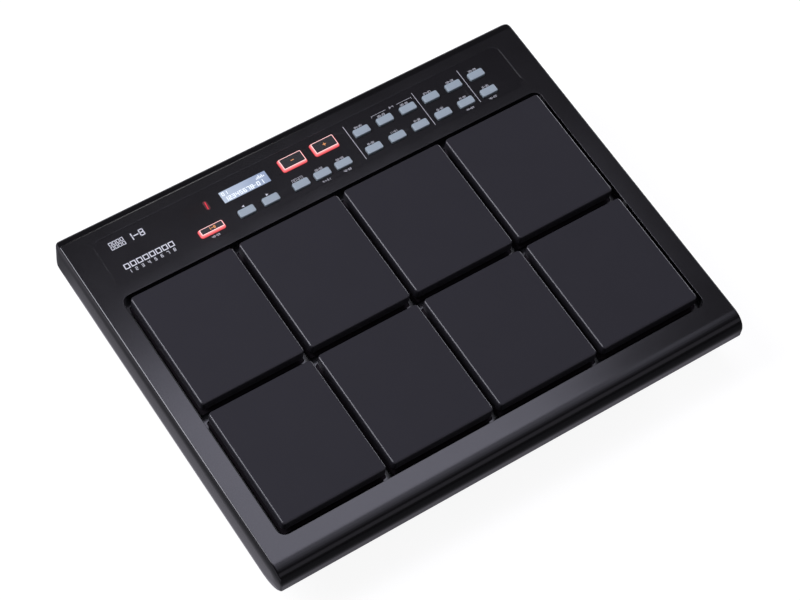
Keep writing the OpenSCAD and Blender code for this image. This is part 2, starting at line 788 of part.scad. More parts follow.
// Main board on its posts
module main_board() {
    color("#1f5a3a") difference() {
        translate([-board_w / 2, board_y0, board_bottom]) cube([board_w, board_d, board_t]);
        for (p = board_boss_xy) translate(p) post(board_bottom - cut, board_top + cut, screw_hole_r);
    }
}

// Phone jacks, each a body on the board with a threaded bush through the panel
module phone_jacks() {
    color("#2a2a2c") for (x = jack_xs) facing_rear(x, panel_in, jack_z) difference() {
        union() {
            block(jack_w, jack_h, -jack_l, 0);
            cylinder(h = panel_t + bush_out, r = bush_r);
        }
        translate([0, 0, -jack_bore]) cylinder(h = jack_bore + panel_t + bush_out + cut, r = jack_hole_r);
    }
}

// Nuts on the bushes of the jacks and of the volume control
module panel_nuts() {
    color("#a8abb0") {
        for (x = jack_xs) facing_rear(x, base_y1, jack_z) panel_nut(bush_r);
        facing_rear(volume_at, base_y1, pot_z) panel_nut(pot_bush_r);
    }
}

// One nut on a bush of a given radius
module panel_nut(r) {
    difference() {
        cylinder(h = nut_t, r = nut_r, $fn = 6);
        translate([0, 0, -cut]) cylinder(h = nut_t + 2 * cut, r = r + thread_gap);
    }
}

// Round sockets, each with a core and its pin holes inside a ring
module round_sockets() {
    color("#2a2a2c") for (x = round_xs) facing_rear(x, panel_in, round_z) difference() {
        union() {
            block(round_body, round_body, -round_l, 0);
            cylinder(h = panel_t, r = round_face_r);
        }
        difference() {
            translate([0, 0, panel_t - round_depth]) cylinder(h = round_depth + cut, r = round_r);
            translate([0, 0, -round_depth]) cylinder(h = round_depth + panel_t, r = round_core_r);
        }
        for (i = [0:round_pins - 1]) rotate(i * 180 / (round_pins - 1)) translate([round_pin_ring, 0, 0])
            translate([0, 0, -round_depth / 2]) cylinder(h = round_depth, r = round_pin_r, $fn = 8);
    }
}

// Square data socket with its tongue
module data_socket() {
    color("#b9bcc0") facing_rear(data_at, panel_in, data_z) difference() {
        block(data_w, data_h, -data_l, panel_t);
        difference() {
            block(data_w - 2 * data_wall, data_h - 2 * data_wall, panel_t - data_depth, panel_t + cut);
            block(data_tongue_w, data_tongue_t, -data_depth - cut, panel_t - cut);
        }
    }
}

// Power inlet with its pin
module power_inlet() {
    color("#2a2a2c") facing_rear(inlet_at, panel_in, inlet_z) difference() {
        union() {
            block(inlet_w, inlet_h, -inlet_l, 0);
            cylinder(h = panel_t, r = inlet_nose_r);
        }
        difference() {
            translate([0, 0, panel_t - inlet_depth]) cylinder(h = inlet_depth + cut, r = inlet_hole_r);
            translate([0, 0, -inlet_depth - cut]) cylinder(h = inlet_depth + panel_t, r = inlet_pin_r);
        }
    }
}

// Body of the power switch on the main board
module power_switch() {
    color("#2a2a2c") facing_rear(power_at, switch_face, power_z) difference() {
        block(switch_body, switch_body, -switch_l, 0);
        translate([0, 0, -stem_l - power_travel - move_gap])
            cylinder(h = stem_l + power_travel + move_gap + cut, r = power_stem_r + move_gap);
    }
}

// Power button: a cap in the panel on a stem in its switch
module power_button() {
    color("#3a3a3e") facing_rear(power_at, base_y1, power_z) {
        translate([0, 0, -power_cap_in]) cylinder(h = power_cap_in + power_out, r = power_r);
        translate([0, 0, switch_face - base_y1 - stem_l])
            cylinder(h = base_y1 - switch_face + stem_l, r = power_stem_r);
    }
}

// Volume control: can and bush
module volume_pot() {
    color("#8f9296") facing_rear(volume_at, panel_in, pot_z) difference() {
        union() {
            translate([0, 0, -pot_l]) cylinder(h = pot_l, r = pot_r);
            cylinder(h = panel_t + pot_bush_out, r = pot_bush_r);
        }
        translate([0, 0, -shaft_in - fit_gap])
            cylinder(h = shaft_in + panel_t + pot_bush_out + fit_gap + cut, r = shaft_r + run_gap);
    }
}

// Shaft of the volume control
module volume_shaft() {
    color("#b9bcc0") facing_rear(volume_at, panel_in - shaft_in, pot_z)
        cylinder(h = knob_y0 + knob_bore - panel_in + shaft_in, r = shaft_r);
}

// Volume knob with a fluted grip and a pointer line
module volume_knob() {
    color("#232326") facing_rear(volume_at, knob_y0, pot_z) difference() {
        cylinder(h = knob_l, r = knob_r);
        translate([0, 0, -cut]) cylinder(h = knob_bore + cut + fit_gap, r = shaft_r + thread_gap / 2);
        for (i = [0:grip_n - 1]) rotate(i * 360 / grip_n) translate([knob_r, 0, cut])
            cylinder(h = knob_l, r = grip_r, $fn = 8);
        translate([0, -knob_r / 2, knob_l - grip_r]) block(2 * grip_r, knob_r, 0, cut);
    }
}

top_shell();
bottom_shell();
rear_panel();
control_panel();
screen_module();
digit_module();
panel_board();
main_board();
pad_tray();
pad_foams();
sensor_discs();
phone_jacks();
panel_nuts();
round_sockets();
data_socket();
power_inlet();
power_switch();
power_button();
volume_pot();
volume_shaft();
volume_knob();
feet();
stand_inserts();
screws();
for (i = [0:pad_n - 1]) pad(i);
for (i = [0:pad_n - 1]) pad_plate(i);
for (b = LIT_BUTTONS) lit_button(b);
for (k = GREY_KEYS) grey_key(k);
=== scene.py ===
"""Electronic percussion pad: a sloping black case with eight pads, a lit control strip and rear sockets.

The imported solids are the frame. The pieces that show most are remade here with rounded edges and ride on the
solids' bodies; the others keep their solids and get a finish. Sizes are in millimetres and are turned into
metres when a mesh is built. Deck places are in the deck's own frame: x to the player's right, y towards the
rear along the slope and z square to it, from the middle of the pads at the level of the deck.
"""

from __future__ import annotations

import json
import logging
import math
from dataclasses import dataclass, field
from enum import Enum
from typing import Callable, Iterable, Mapping, Sequence, Union

import bmesh
import bpy
from mathutils import Matrix, Vector
from mathutils.geometry import tessellate_polygon

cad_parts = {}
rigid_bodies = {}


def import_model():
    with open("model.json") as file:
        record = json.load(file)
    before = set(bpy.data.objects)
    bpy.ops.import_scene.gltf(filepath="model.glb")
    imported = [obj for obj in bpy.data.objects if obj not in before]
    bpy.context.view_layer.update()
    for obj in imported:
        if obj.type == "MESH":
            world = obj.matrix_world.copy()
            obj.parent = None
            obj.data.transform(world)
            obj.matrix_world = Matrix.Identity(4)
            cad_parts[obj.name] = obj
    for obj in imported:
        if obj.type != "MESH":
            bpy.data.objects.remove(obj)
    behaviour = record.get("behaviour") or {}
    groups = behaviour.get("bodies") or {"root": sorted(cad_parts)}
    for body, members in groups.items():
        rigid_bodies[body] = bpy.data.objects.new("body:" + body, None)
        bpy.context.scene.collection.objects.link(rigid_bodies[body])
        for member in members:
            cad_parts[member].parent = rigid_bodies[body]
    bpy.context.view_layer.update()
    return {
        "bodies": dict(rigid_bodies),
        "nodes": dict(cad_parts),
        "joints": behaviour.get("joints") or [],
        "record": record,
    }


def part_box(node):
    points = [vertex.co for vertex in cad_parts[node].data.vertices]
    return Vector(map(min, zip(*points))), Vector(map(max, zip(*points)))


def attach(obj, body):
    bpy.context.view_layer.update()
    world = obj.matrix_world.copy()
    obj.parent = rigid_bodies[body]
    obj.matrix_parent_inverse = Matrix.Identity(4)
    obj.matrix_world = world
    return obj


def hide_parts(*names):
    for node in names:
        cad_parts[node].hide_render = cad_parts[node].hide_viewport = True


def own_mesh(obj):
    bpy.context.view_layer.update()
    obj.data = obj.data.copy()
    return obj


LOG = logging.getLogger("percussion_pad")
MM = 0.001
MOTTLE_SPOTS = 38.0
SAME_POINT = 0.0002
Flat = tuple[float, float]
Spot = tuple[float, float, float]
Edge = tuple[float, float, float, float]
Colour = tuple[float, float, float]


class Value:
    """A node's output, with the sums that the finishes are written in."""

    def __init__(self, paint: "Paint", socket: bpy.types.NodeSocket) -> None:
        """Wraps one output socket of a finish's nodes."""
        self.paint = paint
        self.socket = socket

    def _sum(self, operation: str, first: "Term", second: "Term") -> "Value":
        """Adds one Math node for an operation on two terms."""
        return self.paint.node("ShaderNodeMath", {"operation": operation}, {0: first, 1: second})

    def __add__(self, other: "Term") -> "Value":
        """This value plus another."""
        return self._sum("ADD", self, other)

    __radd__ = __add__

    def __sub__(self, other: "Term") -> "Value":
        """This value less another."""
        return self._sum("SUBTRACT", self, other)

    def __rsub__(self, other: "Term") -> "Value":
        """Another value less this one."""
        return self._sum("SUBTRACT", other, self)

    def __mul__(self, other: "Term") -> "Value":
        """This value times another."""
        return self._sum("MULTIPLY", self, other)

    __rmul__ = __mul__

    def __pow__(self, other: "Term") -> "Value":
        """This value to a power."""
        return self._sum("POWER", self, other)

    def over(self, level: "Term") -> "Value":
        """One where this value is over a level, and nought elsewhere."""
        return self._sum("GREATER_THAN", self, level)

    def larger(self, other: "Term") -> "Value":
        """The larger of this value and another."""
        return self._sum("MAXIMUM", self, other)


Term = Union[Value, float, Sequence[float]]


class Paint:
    """The nodes of one material, or of the world."""

    def __init__(self, tree: bpy.types.NodeTree) -> None:
        """Clears a node tree for writing."""
        self.tree = tree
        self.tree.nodes.clear()

    def node(
        self,
        kind: str,
        settings: Mapping[str, object] | None = None,
        inputs: Mapping[str | int, Term] | None = None,
        output: str | int = 0,
    ) -> Value:
        """Adds any node.

        Args:
            kind: The node's type.
            settings: Its settings, which are set first. "stops" gives a ramp's places and colours.
            inputs: Values or links of its sockets.
            output: The output to go on with.

        Returns:
            That output.
        """
        made = self.tree.nodes.new(kind)
        for name, setting in (settings or {}).items():
            if name == "stops":
                self._set_stops(made.color_ramp, setting)
            else:
                setattr(made, name, setting)
        for name, term in (inputs or {}).items():
            socket = made.inputs[name]
            if isinstance(term, Value):
                self.tree.links.new(term.socket, socket)
            elif socket.type == "RGBA" and len(term) == 3:
                socket.default_value = (*term, 1.0)
            else:
                socket.default_value = term
        return Value(self, made.outputs[output]) if made.outputs else Value(self, made.inputs[0])

    @staticmethod
    def _set_stops(ramp: bpy.types.ColorRamp, stops: Sequence[tuple[float, Colour]]) -> None:
        """Sets a ramp's stops."""
        while len(ramp.elements) < len(stops):
            ramp.elements.new(1.0)
        for element, (place, colour) in zip(ramp.elements, stops):
            element.position = place
            element.color = (*colour, 1.0)

    def place(self) -> Value:
        """The point of the surface in its piece's own frame."""
        return self.node("ShaderNodeTexCoord", output="Object")

    def along(self, axis: str, vector: Value | None = None) -> Value:
        """One part of a vector, or of the point's place in its piece's own frame, in metres."""
        return self.node("ShaderNodeSeparateXYZ", inputs={"Vector": vector or self.place()}, output=axis)

    def share(self, value: Value, low: float, high: float) -> Value:
        """How far a value has come from one level to another, kept between nought and one."""
        return self.node("ShaderNodeMapRange", {"clamp": True},
                         {"Value": value, "From Min": low, "From Max": high})

    def noise(self, scale: float, detail: float = 3.0, stretch: Spot = (1.0, 1.0, 1.0)) -> Value:
        """Cloudy noise.

        Args:
            scale: Spots to the metre.
            detail: Layers of finer noise.
            stretch: How the noise is squeezed along each axis.

        Returns:
            The noise, about 0.5.
        """
        spot = self.node("ShaderNodeMapping", inputs={"Vector": self.place(), "Scale": stretch})
        return self.node("ShaderNodeTexNoise", inputs={"Vector": spot, "Scale": scale, "Detail": detail})

    def cells(self, scale: float) -> Value:
        """Distance to the middle of the nearest of scattered cells, as many to the metre as the scale."""
        return self.node("ShaderNodeTexVoronoi", inputs={"Vector": self.place(), "Scale": scale})

    def blend(self, factor: Term, first: Term, second: Term) -> Value:
        """Colour between a first one, at a factor of nought, and a second one, at one."""
        return self.node("ShaderNodeMix", {"data_type": "RGBA"}, {0: factor, 6: first, 7: second}, 2)

    def bump(self, height: Value, depth: float) -> Value:
        """Surface normal of a relief whose depth is in millimetres."""
        return self.node("ShaderNodeBump", inputs={"Strength": 1.0, "Distance": depth * MM, "Height": height})

    def surface(self, sockets: Mapping[str, Term]) -> None:
        """Ends the nodes in a principled surface with these sockets."""
        shader = self.node("ShaderNodeBsdfPrincipled", inputs=sockets)
        self.node("ShaderNodeOutputMaterial", inputs={"Surface": shader})


@dataclass(frozen=True)
class Finish:
    """A finish: its own name, the record's slot that it belongs to and its colour."""

    name: str
    slot: str
    colour: Colour

    def material(self) -> bpy.types.Material:
        """The finish as a material, made at its first use."""
        found = bpy.data.materials.get(self.name)
        if found is None:
            found = bpy.data.materials.new(self.name)
            found.use_nodes = True
            self.write(Paint(found.node_tree))
        return found

    def write(self, paint: Paint) -> None:
        """Writes the finish's nodes."""
        raise NotImplementedError

    def shade(self, share: float) -> Colour:
        """The finish's colour, lighter or darker by a share."""
        red, green, blue = self.colour
        return (red * share, green * share, blue * share)


@dataclass(frozen=True)
class Moulded(Finish):
    """Moulded plastic, rubber or paint: a fine grain, a faint mottle and an uneven gloss."""

    gloss: float = 0.3
    grain: float = 1800.0
    depth: float = 0.004
    mottle: float = 0.12
    level: float = 0.5

    def write(self, paint: Paint) -> None:
        """Writes the finish's nodes."""
        cloud = paint.noise(MOTTLE_SPOTS, 4.0)
        fine = paint.noise(self.grain, 2.0)
        colour = paint.blend(cloud, self.shade(1.0 - self.mottle), self.shade(1.0 + self.mottle))
        paint.surface({
            "Base Color": colour,
            "Roughness": self.gloss + (cloud - 0.5) * 0.06 + (fine - 0.5) * 0.05,
            "Specular IOR Level": self.level,
            "Normal": paint.bump(fine, self.depth),
        })


@dataclass(frozen=True)
class Rubber(Finish):
    """Matt rubber whose top is dusty and whose rounded edges are smoother."""

    gloss: float = 0.6
    edge_gloss: float = 0.36
    edge_level: float = 4.7
    grain: float = 2400.0
    depth: float = 0.005
    level: float = 0.25

    def write(self, paint: Paint) -> None:
        """Writes the finish's nodes."""
        cloud = paint.noise(MOTTLE_SPOTS, 4.0)
        fine = paint.noise(self.grain, 2.0)
        top = paint.along("Z").over(self.edge_level * MM)
        paint.surface({
            "Base Color": paint.blend(cloud, self.shade(0.93), self.shade(1.07)),
            "Roughness": self.gloss + (fine - 0.5) * 0.06,
            "Specular IOR Level": self.level,
            "Coat Weight": 1.0 - top,
            "Coat Roughness": self.edge_gloss,
            "Normal": paint.bump(fine, self.depth),
        })


@dataclass(frozen=True)
class Plated(Finish):
    """Metal with fine lines of turning or brushing."""

    gloss: float = 0.28
    lines: Spot = (1.0, 14.0, 1.0)

    def write(self, paint: Paint) -> None:
        """Writes the finish's nodes."""
        streak = paint.noise(420.0, 3.0, self.lines)
        cloud = paint.noise(70.0, 3.0)
        paint.surface({
            "Base Color": paint.blend(cloud, self.shade(0.86), self.shade(1.08)),
            "Metallic": 1.0,
            "Roughness": self.gloss + (streak - 0.5) * 0.22,
            "Normal": paint.bump(streak, 0.003),
        })


@dataclass(frozen=True)
class Board(Finish):
    """Circuit board: green varnish with paler copper runs below it."""

    runs: float = 160.0

    def write(self, paint: Paint) -> None:
        """Writes the finish's nodes."""
        spot = paint.node("ShaderNodeMapping", inputs={"Vector": paint.place(), "Scale": (self.runs,) * 3})
        brick = paint.node("ShaderNodeTexBrick", {"offset": 0.37},
                           {"Vector": spot, "Scale": 1.0, "Mortar Size": 0.09, "Color1": (0.0, 0.0, 0.0),
                            "Color2": (0.0, 0.0, 0.0), "Mortar": (1.0, 1.0, 1.0)}, "Fac")
        cloud = paint.noise(50.0)
        varnish = paint.blend(cloud, self.shade(0.8), self.shade(1.2))
        paint.surface({
            "Base Color": paint.blend(brick * 0.8, varnish, self.shade(2.1)),
            "Roughness": 0.28 + (cloud - 0.5) * 0.1,
            "Normal": paint.bump(brick, 0.03),
        })


@dataclass(frozen=True)
class Foam(Finish):
    """Open foam with small dark cells: the colour darkens towards each cell's middle, which is painted shade
    in the pores.
    """

    cell: float = 1100.0

    def write(self, paint: Paint) -> None:
        """Writes the finish's nodes."""
        cells = paint.cells(self.cell)
        paint.surface({
            # Painted shade: darker towards the middle of each sunken cell.
            "Base Color": paint.blend(cells, self.shade(0.5), self.shade(1.5)),
            "Roughness": 0.94 + (cells - 0.5) * 0.05,
            "Specular IOR Level": 0.2,
            "Normal": paint.bump(cells, 0.25),
        })


@dataclass(frozen=True)
class Lit(Finish):
    """Plastic lit from behind, which changes in colour with the height above the deck."""

    low_colour: Colour = (0.5, 0.02, 0.02)
    edge_colour: Colour | None = None
    low: float = 0.0
    high: float = 2.0
    strength: float = 1.0
    flicker: float = 0.2
    gloss: float = 0.35

    def write(self, paint: Paint) -> None:
        """Writes the finish's nodes."""
        cloud = paint.noise(240.0, 2.0)
        rise = paint.share(paint.along("Z"), self.low * MM, self.high * MM)
        stops = ((0.0, self.low_colour), (0.78, self.colour), (0.94, self.edge_colour or self.colour))
        glow = paint.node("ShaderNodeValToRGB", {"stops": stops},
                          {"Fac": rise + (cloud - 0.5) * self.flicker})
        paint.surface({
            "Base Color": paint.blend(cloud, self.shade(0.16), self.shade(0.24)),
            "Roughness": self.gloss + (cloud - 0.5) * 0.1,
            "Emission Color": glow,
            "Emission Strength": self.strength,
        })


@dataclass(frozen=True)
class LitGlass(Finish):
    """Lit screen glass, paler towards one end and at its edges' lamps."""

    far_colour: Colour = (0.3, 0.36, 0.6)
    left: float = -71.0
    right: float = -33.0
    strength: float = 1.0

    def write(self, paint: Paint) -> None:
        """Writes the finish's nodes."""
        run = paint.share(paint.along("X"), self.left * MM, self.right * MM)
        cloud = paint.noise(90.0, 2.0)
        dots = paint.cells(2600.0)
        paint.surface({
            "Base Color": paint.blend(cloud, (0.01, 0.011, 0.016), (0.014, 0.015, 0.022)),
            "Roughness": 0.12 + (dots - 0.5) * 0.04,
            "Emission Color": paint.blend(run + (cloud - 0.5) * 0.5, self.colour, self.far_colour),
            "Emission Strength": self.strength,
        })


CASE = Moulded("satin_case", "case_plastic", (0.0042, 0.0038, 0.005), gloss=0.17, depth=0.001)
BASE = Moulded("matt_base", "case_plastic", (0.011, 0.0108, 0.0118), gloss=0.42, grain=1400.0, depth=0.012)
PADS = Rubber("matt_pad_rubber", "pad_rubber", (0.019, 0.0178, 0.0233), edge_level=4.72)
HOLLOW = Moulded("black_tray", "painted_steel", (0.026, 0.021, 0.026), gloss=0.8, depth=0.004, level=0.1)
SHEET = Moulded("printed_sheet", "control_sheet", (0.0042, 0.0036, 0.0048), gloss=0.22, grain=3200.0,
                depth=0.001, mottle=0.06, level=0.29)
STEEL = Moulded("painted_steel_sheet", "painted_steel", (0.012, 0.012, 0.0135), gloss=0.36, grain=900.0,
                depth=0.01)
KEYS = Moulded("key_blue_grey", "key_plastic", (0.355, 0.425, 0.465), gloss=0.4, grain=2600.0, depth=0.003,
               mottle=0.04)
BLACK = Moulded("button_black", "lit_plastic", (0.009, 0.0085, 0.009), gloss=0.28, depth=0.001)
KNOB = Moulded("knob_black", "knob_plastic", (0.013, 0.013, 0.014), gloss=0.36, depth=0.004)
SOCKET = Moulded("socket_black", "socket_plastic", (0.014, 0.014, 0.015), gloss=0.4, depth=0.006)
FOOT = Moulded("foot_rubber_black", "foot_rubber", (0.014, 0.0138, 0.0135), gloss=0.72, grain=1500.0,
               depth=0.02, mottle=0.2, level=0.3)
INK = Moulded("white_ink", "control_sheet", (0.72, 0.73, 0.76), gloss=0.55, depth=0.001, mottle=0.08)
FAINT_INK = Moulded("grey_ink", "control_sheet", (0.7, 0.7, 0.73), gloss=0.55, depth=0.001, mottle=0.08)
REAR_INK = Moulded("rear_ink", "painted_steel", (0.55, 0.56, 0.58), gloss=0.5, depth=0.001, mottle=0.08)
WINDOW = Moulded("digit_window", "digits", (0.0046, 0.0034, 0.0042), gloss=0.22, depth=0.0008, mottle=0.1,
                 level=0.28)
UNLIT = Moulded("digit_unlit", "digits", (0.0062, 0.0034, 0.004), gloss=0.22, depth=0.0008, level=0.28)
GLOW = Lit("red_glow", "lit_plastic", (0.86, 0.25, 0.26), low_colour=(0.55, 0.04, 0.05),
           edge_colour=(1.0, 0.78, 0.77), low=-0.2, high=2.3, flicker=0.05, strength=1.35)
AMBER = Lit("amber_mark", "lit_plastic", (0.75, 0.3, 0.1), low_colour=(0.7, 0.25, 0.08))
DIGIT = Lit("red_digit", "digits", (0.74, 0.012, 0.034), low_colour=(0.66, 0.008, 0.022), low=-1.0,
            high=0.0)
# Painted glow: a dim red emission patch that stands for the lit numeral's light spreading in the window.
HALO = Lit("painted_red_glow", "digits", (0.06, 0.003, 0.005), low_colour=(0.03, 0.002, 0.003), low=-1.0, high=0.0)
SCREEN = LitGlass("screen_glass", "screen", (0.52, 0.6, 0.74), far_colour=(0.29, 0.36, 0.53))
SCREEN_INK = Lit("screen_marks", "screen", (0.86, 0.92, 1.0), low_colour=(0.8, 0.88, 1.0), low=-1.0,
                 high=0.0)
NICKEL = Plated("nickel_plate", "bright_metal", (0.56, 0.56, 0.57), gloss=0.26)
ZINC = Plated("zinc_plate", "plate_steel", (0.46, 0.47, 0.49), gloss=0.36)
BLACK_ZINC = Plated("black_zinc", "dark_metal", (0.12, 0.12, 0.125), gloss=0.34)
BRASS = Plated("turned_brass", "brass", (0.62, 0.45, 0.18), gloss=0.3)
GREEN_BOARD = Board("green_board", "circuit_board", (0.02, 0.11, 0.05))
BLACK_FOAM = Foam("black_foam", "foam", (0.016, 0.016, 0.017))


def arc(middle: Flat, radius: float, start: float, end: float, steps: int) -> list[Flat]:
    """Points of an arc.

    Args:
        middle: Its middle.
        radius: Its radius.
        start: Angle of its first point, in degrees.
        end: Angle of its last point.
        steps: Number of steps between them.

    Returns:
        The points, both ends with them.
    """
    angles = [math.radians(start + (end - start) * i / steps) for i in range(steps + 1)]
    return [(middle[0] + radius * math.cos(a), middle[1] + radius * math.sin(a)) for a in angles]


def round_rect(middle: Flat, width: float, depth: float, radius: float, steps: int) -> list[Flat]:
    """Outline of a rectangle with round corners, anticlockwise from its right-hand side.

    Args:
        middle: Its middle.
        width: Its width.
        depth: Its depth.
        radius: Radius of its corners.
        steps: Steps in a corner.

    Returns:
        The outline's points.
    """
    points: list[Flat] = []
    for turn, (sx, sy) in enumerate(((1, 1), (-1, 1), (-1, -1), (1, -1))):
        corner = (middle[0] + sx * (width / 2 - radius), middle[1] + sy * (depth / 2 - radius))
        points += arc(corner, radius, 90.0 * turn, 90.0 * turn + 90.0, steps)
    return points


def at_level(outline: Iterable[Flat], level: float) -> list[Spot]:
    """An outline lifted to a level."""
    return [(x, y, level) for x, y in outline]


def rounded_edge(radius: float, top: float, steps: int) -> list[Flat]:
    """Insets and levels of a rounded upper edge, from its foot to its top."""
    turns = [math.radians(90.0 * i / steps) for i in range(steps + 1)]
    return [(radius * (1 - math.cos(t)), top - radius * (1 - math.sin(t))) for t in turns]


class Skin:
    """A closed mesh that is gathered ring by ring, in millimetres."""

    def __init__(self) -> None:
        """Starts with no points and no faces."""
        self.points: list[Vector] = []
        self.faces: list[tuple[int, ...]] = []

    def ring(self, points: Iterable[Spot]) -> list[int]:
        """Adds points and returns their numbers."""
        first = len(self.points)
        self.points += [Vector(p) for p in points]
        return list(range(first, len(self.points)))

    def band(self, first: Sequence[int], second: Sequence[int], closed: bool = True) -> None:
        """Joins two rings of as many points by a band of faces."""
        count = len(first)
        for i in range(count if closed else count - 1):
            j = (i + 1) % count
            self.faces.append((first[i], first[j], second[j], second[i]))

    def fill(self, rim: Sequence[int], *holes: Sequence[int]) -> None:
        """Fills a flat rim, leaving its holes open."""
        if not holes:
            self.faces.append(tuple(rim))
            return
        numbers = [i for loop in (rim, *holes) for i in loop]
        loops = [[self.points[i] for i in loop] for loop in (rim, *holes)]
        self.faces += [tuple(numbers[i] for i in corner) for corner in tessellate_polygon(loops)]

    def loft(self, rings: Sequence[Sequence[Spot]]) -> None:
        """Adds a closed body through rings of as many points, with its two ends filled."""
        numbers = [self.ring(r) for r in rings]
        for first, second in zip(numbers, numbers[1:]):
            self.band(first, second)
        self.fill(numbers[0])
        self.fill(numbers[-1])

    def build(self, name: str, finish: Finish, matrix: Matrix, baked: bool = False, sharp: float = 32.0
              ) -> bpy.types.Object:
        """Makes the mesh and its object.

        Args:
            name: Name of the piece.
            finish: Its finish.
            matrix: Where the mesh's own frame lies.
            baked: Whether the frame goes into the mesh's points.
            sharp: Angle over which an edge stays sharp, in degrees.

        Returns:
            The object, in the scene.
        """
        work = bmesh.new()
        corners = [work.verts.new(p * MM) for p in self.points]
        for face in self.faces:
            if len(set(face)) > 2:
                work.faces.new([corners[i] for i in face])
        bmesh.ops.remove_doubles(work, verts=work.verts, dist=SAME_POINT * MM)
        bmesh.ops.recalc_face_normals(work, faces=work.faces)
        mesh = bpy.data.meshes.new(name)
        work.to_mesh(mesh)
        work.free()
        if baked:
            mesh.transform(matrix)
        mesh.polygons.foreach_set("use_smooth", [True] * len(mesh.polygons))
        mesh.set_sharp_from_angle(angle=math.radians(sharp))
        mesh.materials.append(finish.material())
        made = bpy.data.objects.new(name, mesh)
        bpy.context.scene.collection.objects.link(made)
        if not baked:
            made.matrix_world = matrix
        weigh = made.modifiers.new("even_faces", "WEIGHTED_NORMAL")
        weigh.keep_sharp = True
        return made


class Bar(Enum):
    """The seven strokes of a numeral, each as a share of its width and height."""

    TOP = ((0.0, 1.0), (1.0, 1.0))
    MIDDLE = ((0.0, 0.5), (1.0, 0.5))
    FOOT = ((0.0, 0.0), (1.0, 0.0))
    LEFT_HIGH = ((0.0, 0.5), (0.0, 1.0))
    RIGHT_HIGH = ((1.0, 0.5), (1.0, 1.0))
    LEFT_LOW = ((0.0, 0.0), (0.0, 0.5))
    RIGHT_LOW = ((1.0, 0.0), (1.0, 0.5))


NUMERALS: dict[str, tuple[Bar, ...]] = {
    "0": (Bar.TOP, Bar.FOOT, Bar.LEFT_HIGH, Bar.LEFT_LOW, Bar.RIGHT_HIGH, Bar.RIGHT_LOW),
    "1": (Bar.RIGHT_HIGH, Bar.RIGHT_LOW),
    "2": (Bar.TOP, Bar.MIDDLE, Bar.FOOT, Bar.RIGHT_HIGH, Bar.LEFT_LOW),
    "3": (Bar.TOP, Bar.MIDDLE, Bar.FOOT, Bar.RIGHT_HIGH, Bar.RIGHT_LOW),
    "4": (Bar.MIDDLE, Bar.LEFT_HIGH, Bar.RIGHT_HIGH, Bar.RIGHT_LOW),
    "5": (Bar.TOP, Bar.MIDDLE, Bar.FOOT, Bar.LEFT_HIGH, Bar.RIGHT_LOW),
    "6": (Bar.TOP, Bar.MIDDLE, Bar.FOOT, Bar.LEFT_HIGH, Bar.LEFT_LOW, Bar.RIGHT_LOW),
    "7": (Bar.TOP, Bar.RIGHT_HIGH, Bar.RIGHT_LOW),
    "8": tuple(Bar),
    "9": (Bar.TOP, Bar.MIDDLE, Bar.FOOT, Bar.LEFT_HIGH, Bar.RIGHT_HIGH, Bar.RIGHT_LOW),
    "-": (Bar.MIDDLE,),
}
NUMERAL_WIDTH = 0.5
NUMERAL_SPACE = 1.9


class Stamp(Skin):
    """Thin raised print between two levels."""

    def __init__(self, low: float, high: float) -> None:
        """Starts a print with no marks.

        Args:
            low: Level of its underside, inside what carries it.
            high: Level of its face.
        """
        super().__init__()
        self.low = low
        self.high = high

    def patch(self, outline: Sequence[Flat]) -> None:
        """Adds a patch with a given outline."""
        self.loft([at_level(outline, self.low), at_level(outline, self.high)])

    def box(self, middle: Flat, width: float, depth: float) -> None:
        """Adds a rectangle."""
        x, y, w, d = middle[0], middle[1], width / 2, depth / 2
        self.patch([(x - w, y - d), (x + w, y - d), (x + w, y + d), (x - w, y + d)])

    def line(self, start: Flat, end: Flat, width: float) -> None:
        """Adds a straight line of a given width."""
        run = Vector(end) - Vector(start)
        side = Vector((-run.y, run.x)).normalized() * width / 2
        self.patch([tuple(Vector(p) + side * s) for p, s in ((start, -1), (end, -1), (end, 1), (start, 1))])

    def frame(self, middle: Flat, width: float, depth: float, line: float) -> None:
        """Adds the four sides of a frame, measured over its outside."""
        x, y = middle
        for s in (-1, 1):
            self.box((x, y + s * (depth - line) / 2), width, line)
            self.box((x + s * (width - line) / 2, y), line, depth - 2 * line)

    def bow(self, middle: Flat, radius: float, line: float, start: float, end: float) -> None:
        """Adds a part of a hoop, of a given line's width, between two angles."""
        steps = round((end - start) / 12)
        outer = arc(middle, radius + line / 2, start, end, steps)
        inner = arc(middle, radius - line / 2, start, end, steps)
        self.patch(outer + inner[::-1])

    def numeral(self, digits: str, left: Flat, height: float, stroke: float, lean: float = 0.0) -> None:
        """Adds numerals in a row.

        Args:
            digits: The numerals.
            left: The foot of the first one's left side.
            height: Their height.
            stroke: Width of a stroke, as a share of the height.
            lean: How far they lean to the right, as a share of the height.
        """
        x, y = left
        wide, line = NUMERAL_WIDTH * height, stroke * height
        for digit in digits:
            for bar in NUMERALS[digit]:
                (ax, ay), (bx, by) = bar.value
                grow = Vector((bx - ax, by - ay)).normalized() * line * 0.5
                start = Vector((x + ax * wide, y + ay * (height - line) + line / 2)) - grow
                end = Vector((x + bx * wide, y + by * (height - line) + line / 2)) + grow
                start.x += lean * (start.y - y)
                end.x += lean * (end.y - y)
                self.line(tuple(start), tuple(end), line)
            x += wide + NUMERAL_SPACE * line

    def caption(self, digits: str, foot: Flat, height: float, stroke: float = 0.16) -> None:
        """Adds numerals with the middle of their row's foot at a place."""
        wide = (len(digits) * NUMERAL_WIDTH + (len(digits) - 1) * NUMERAL_SPACE * stroke) * height
        self.numeral(digits, (foot[0] - wide / 2, foot[1]), height, stroke)


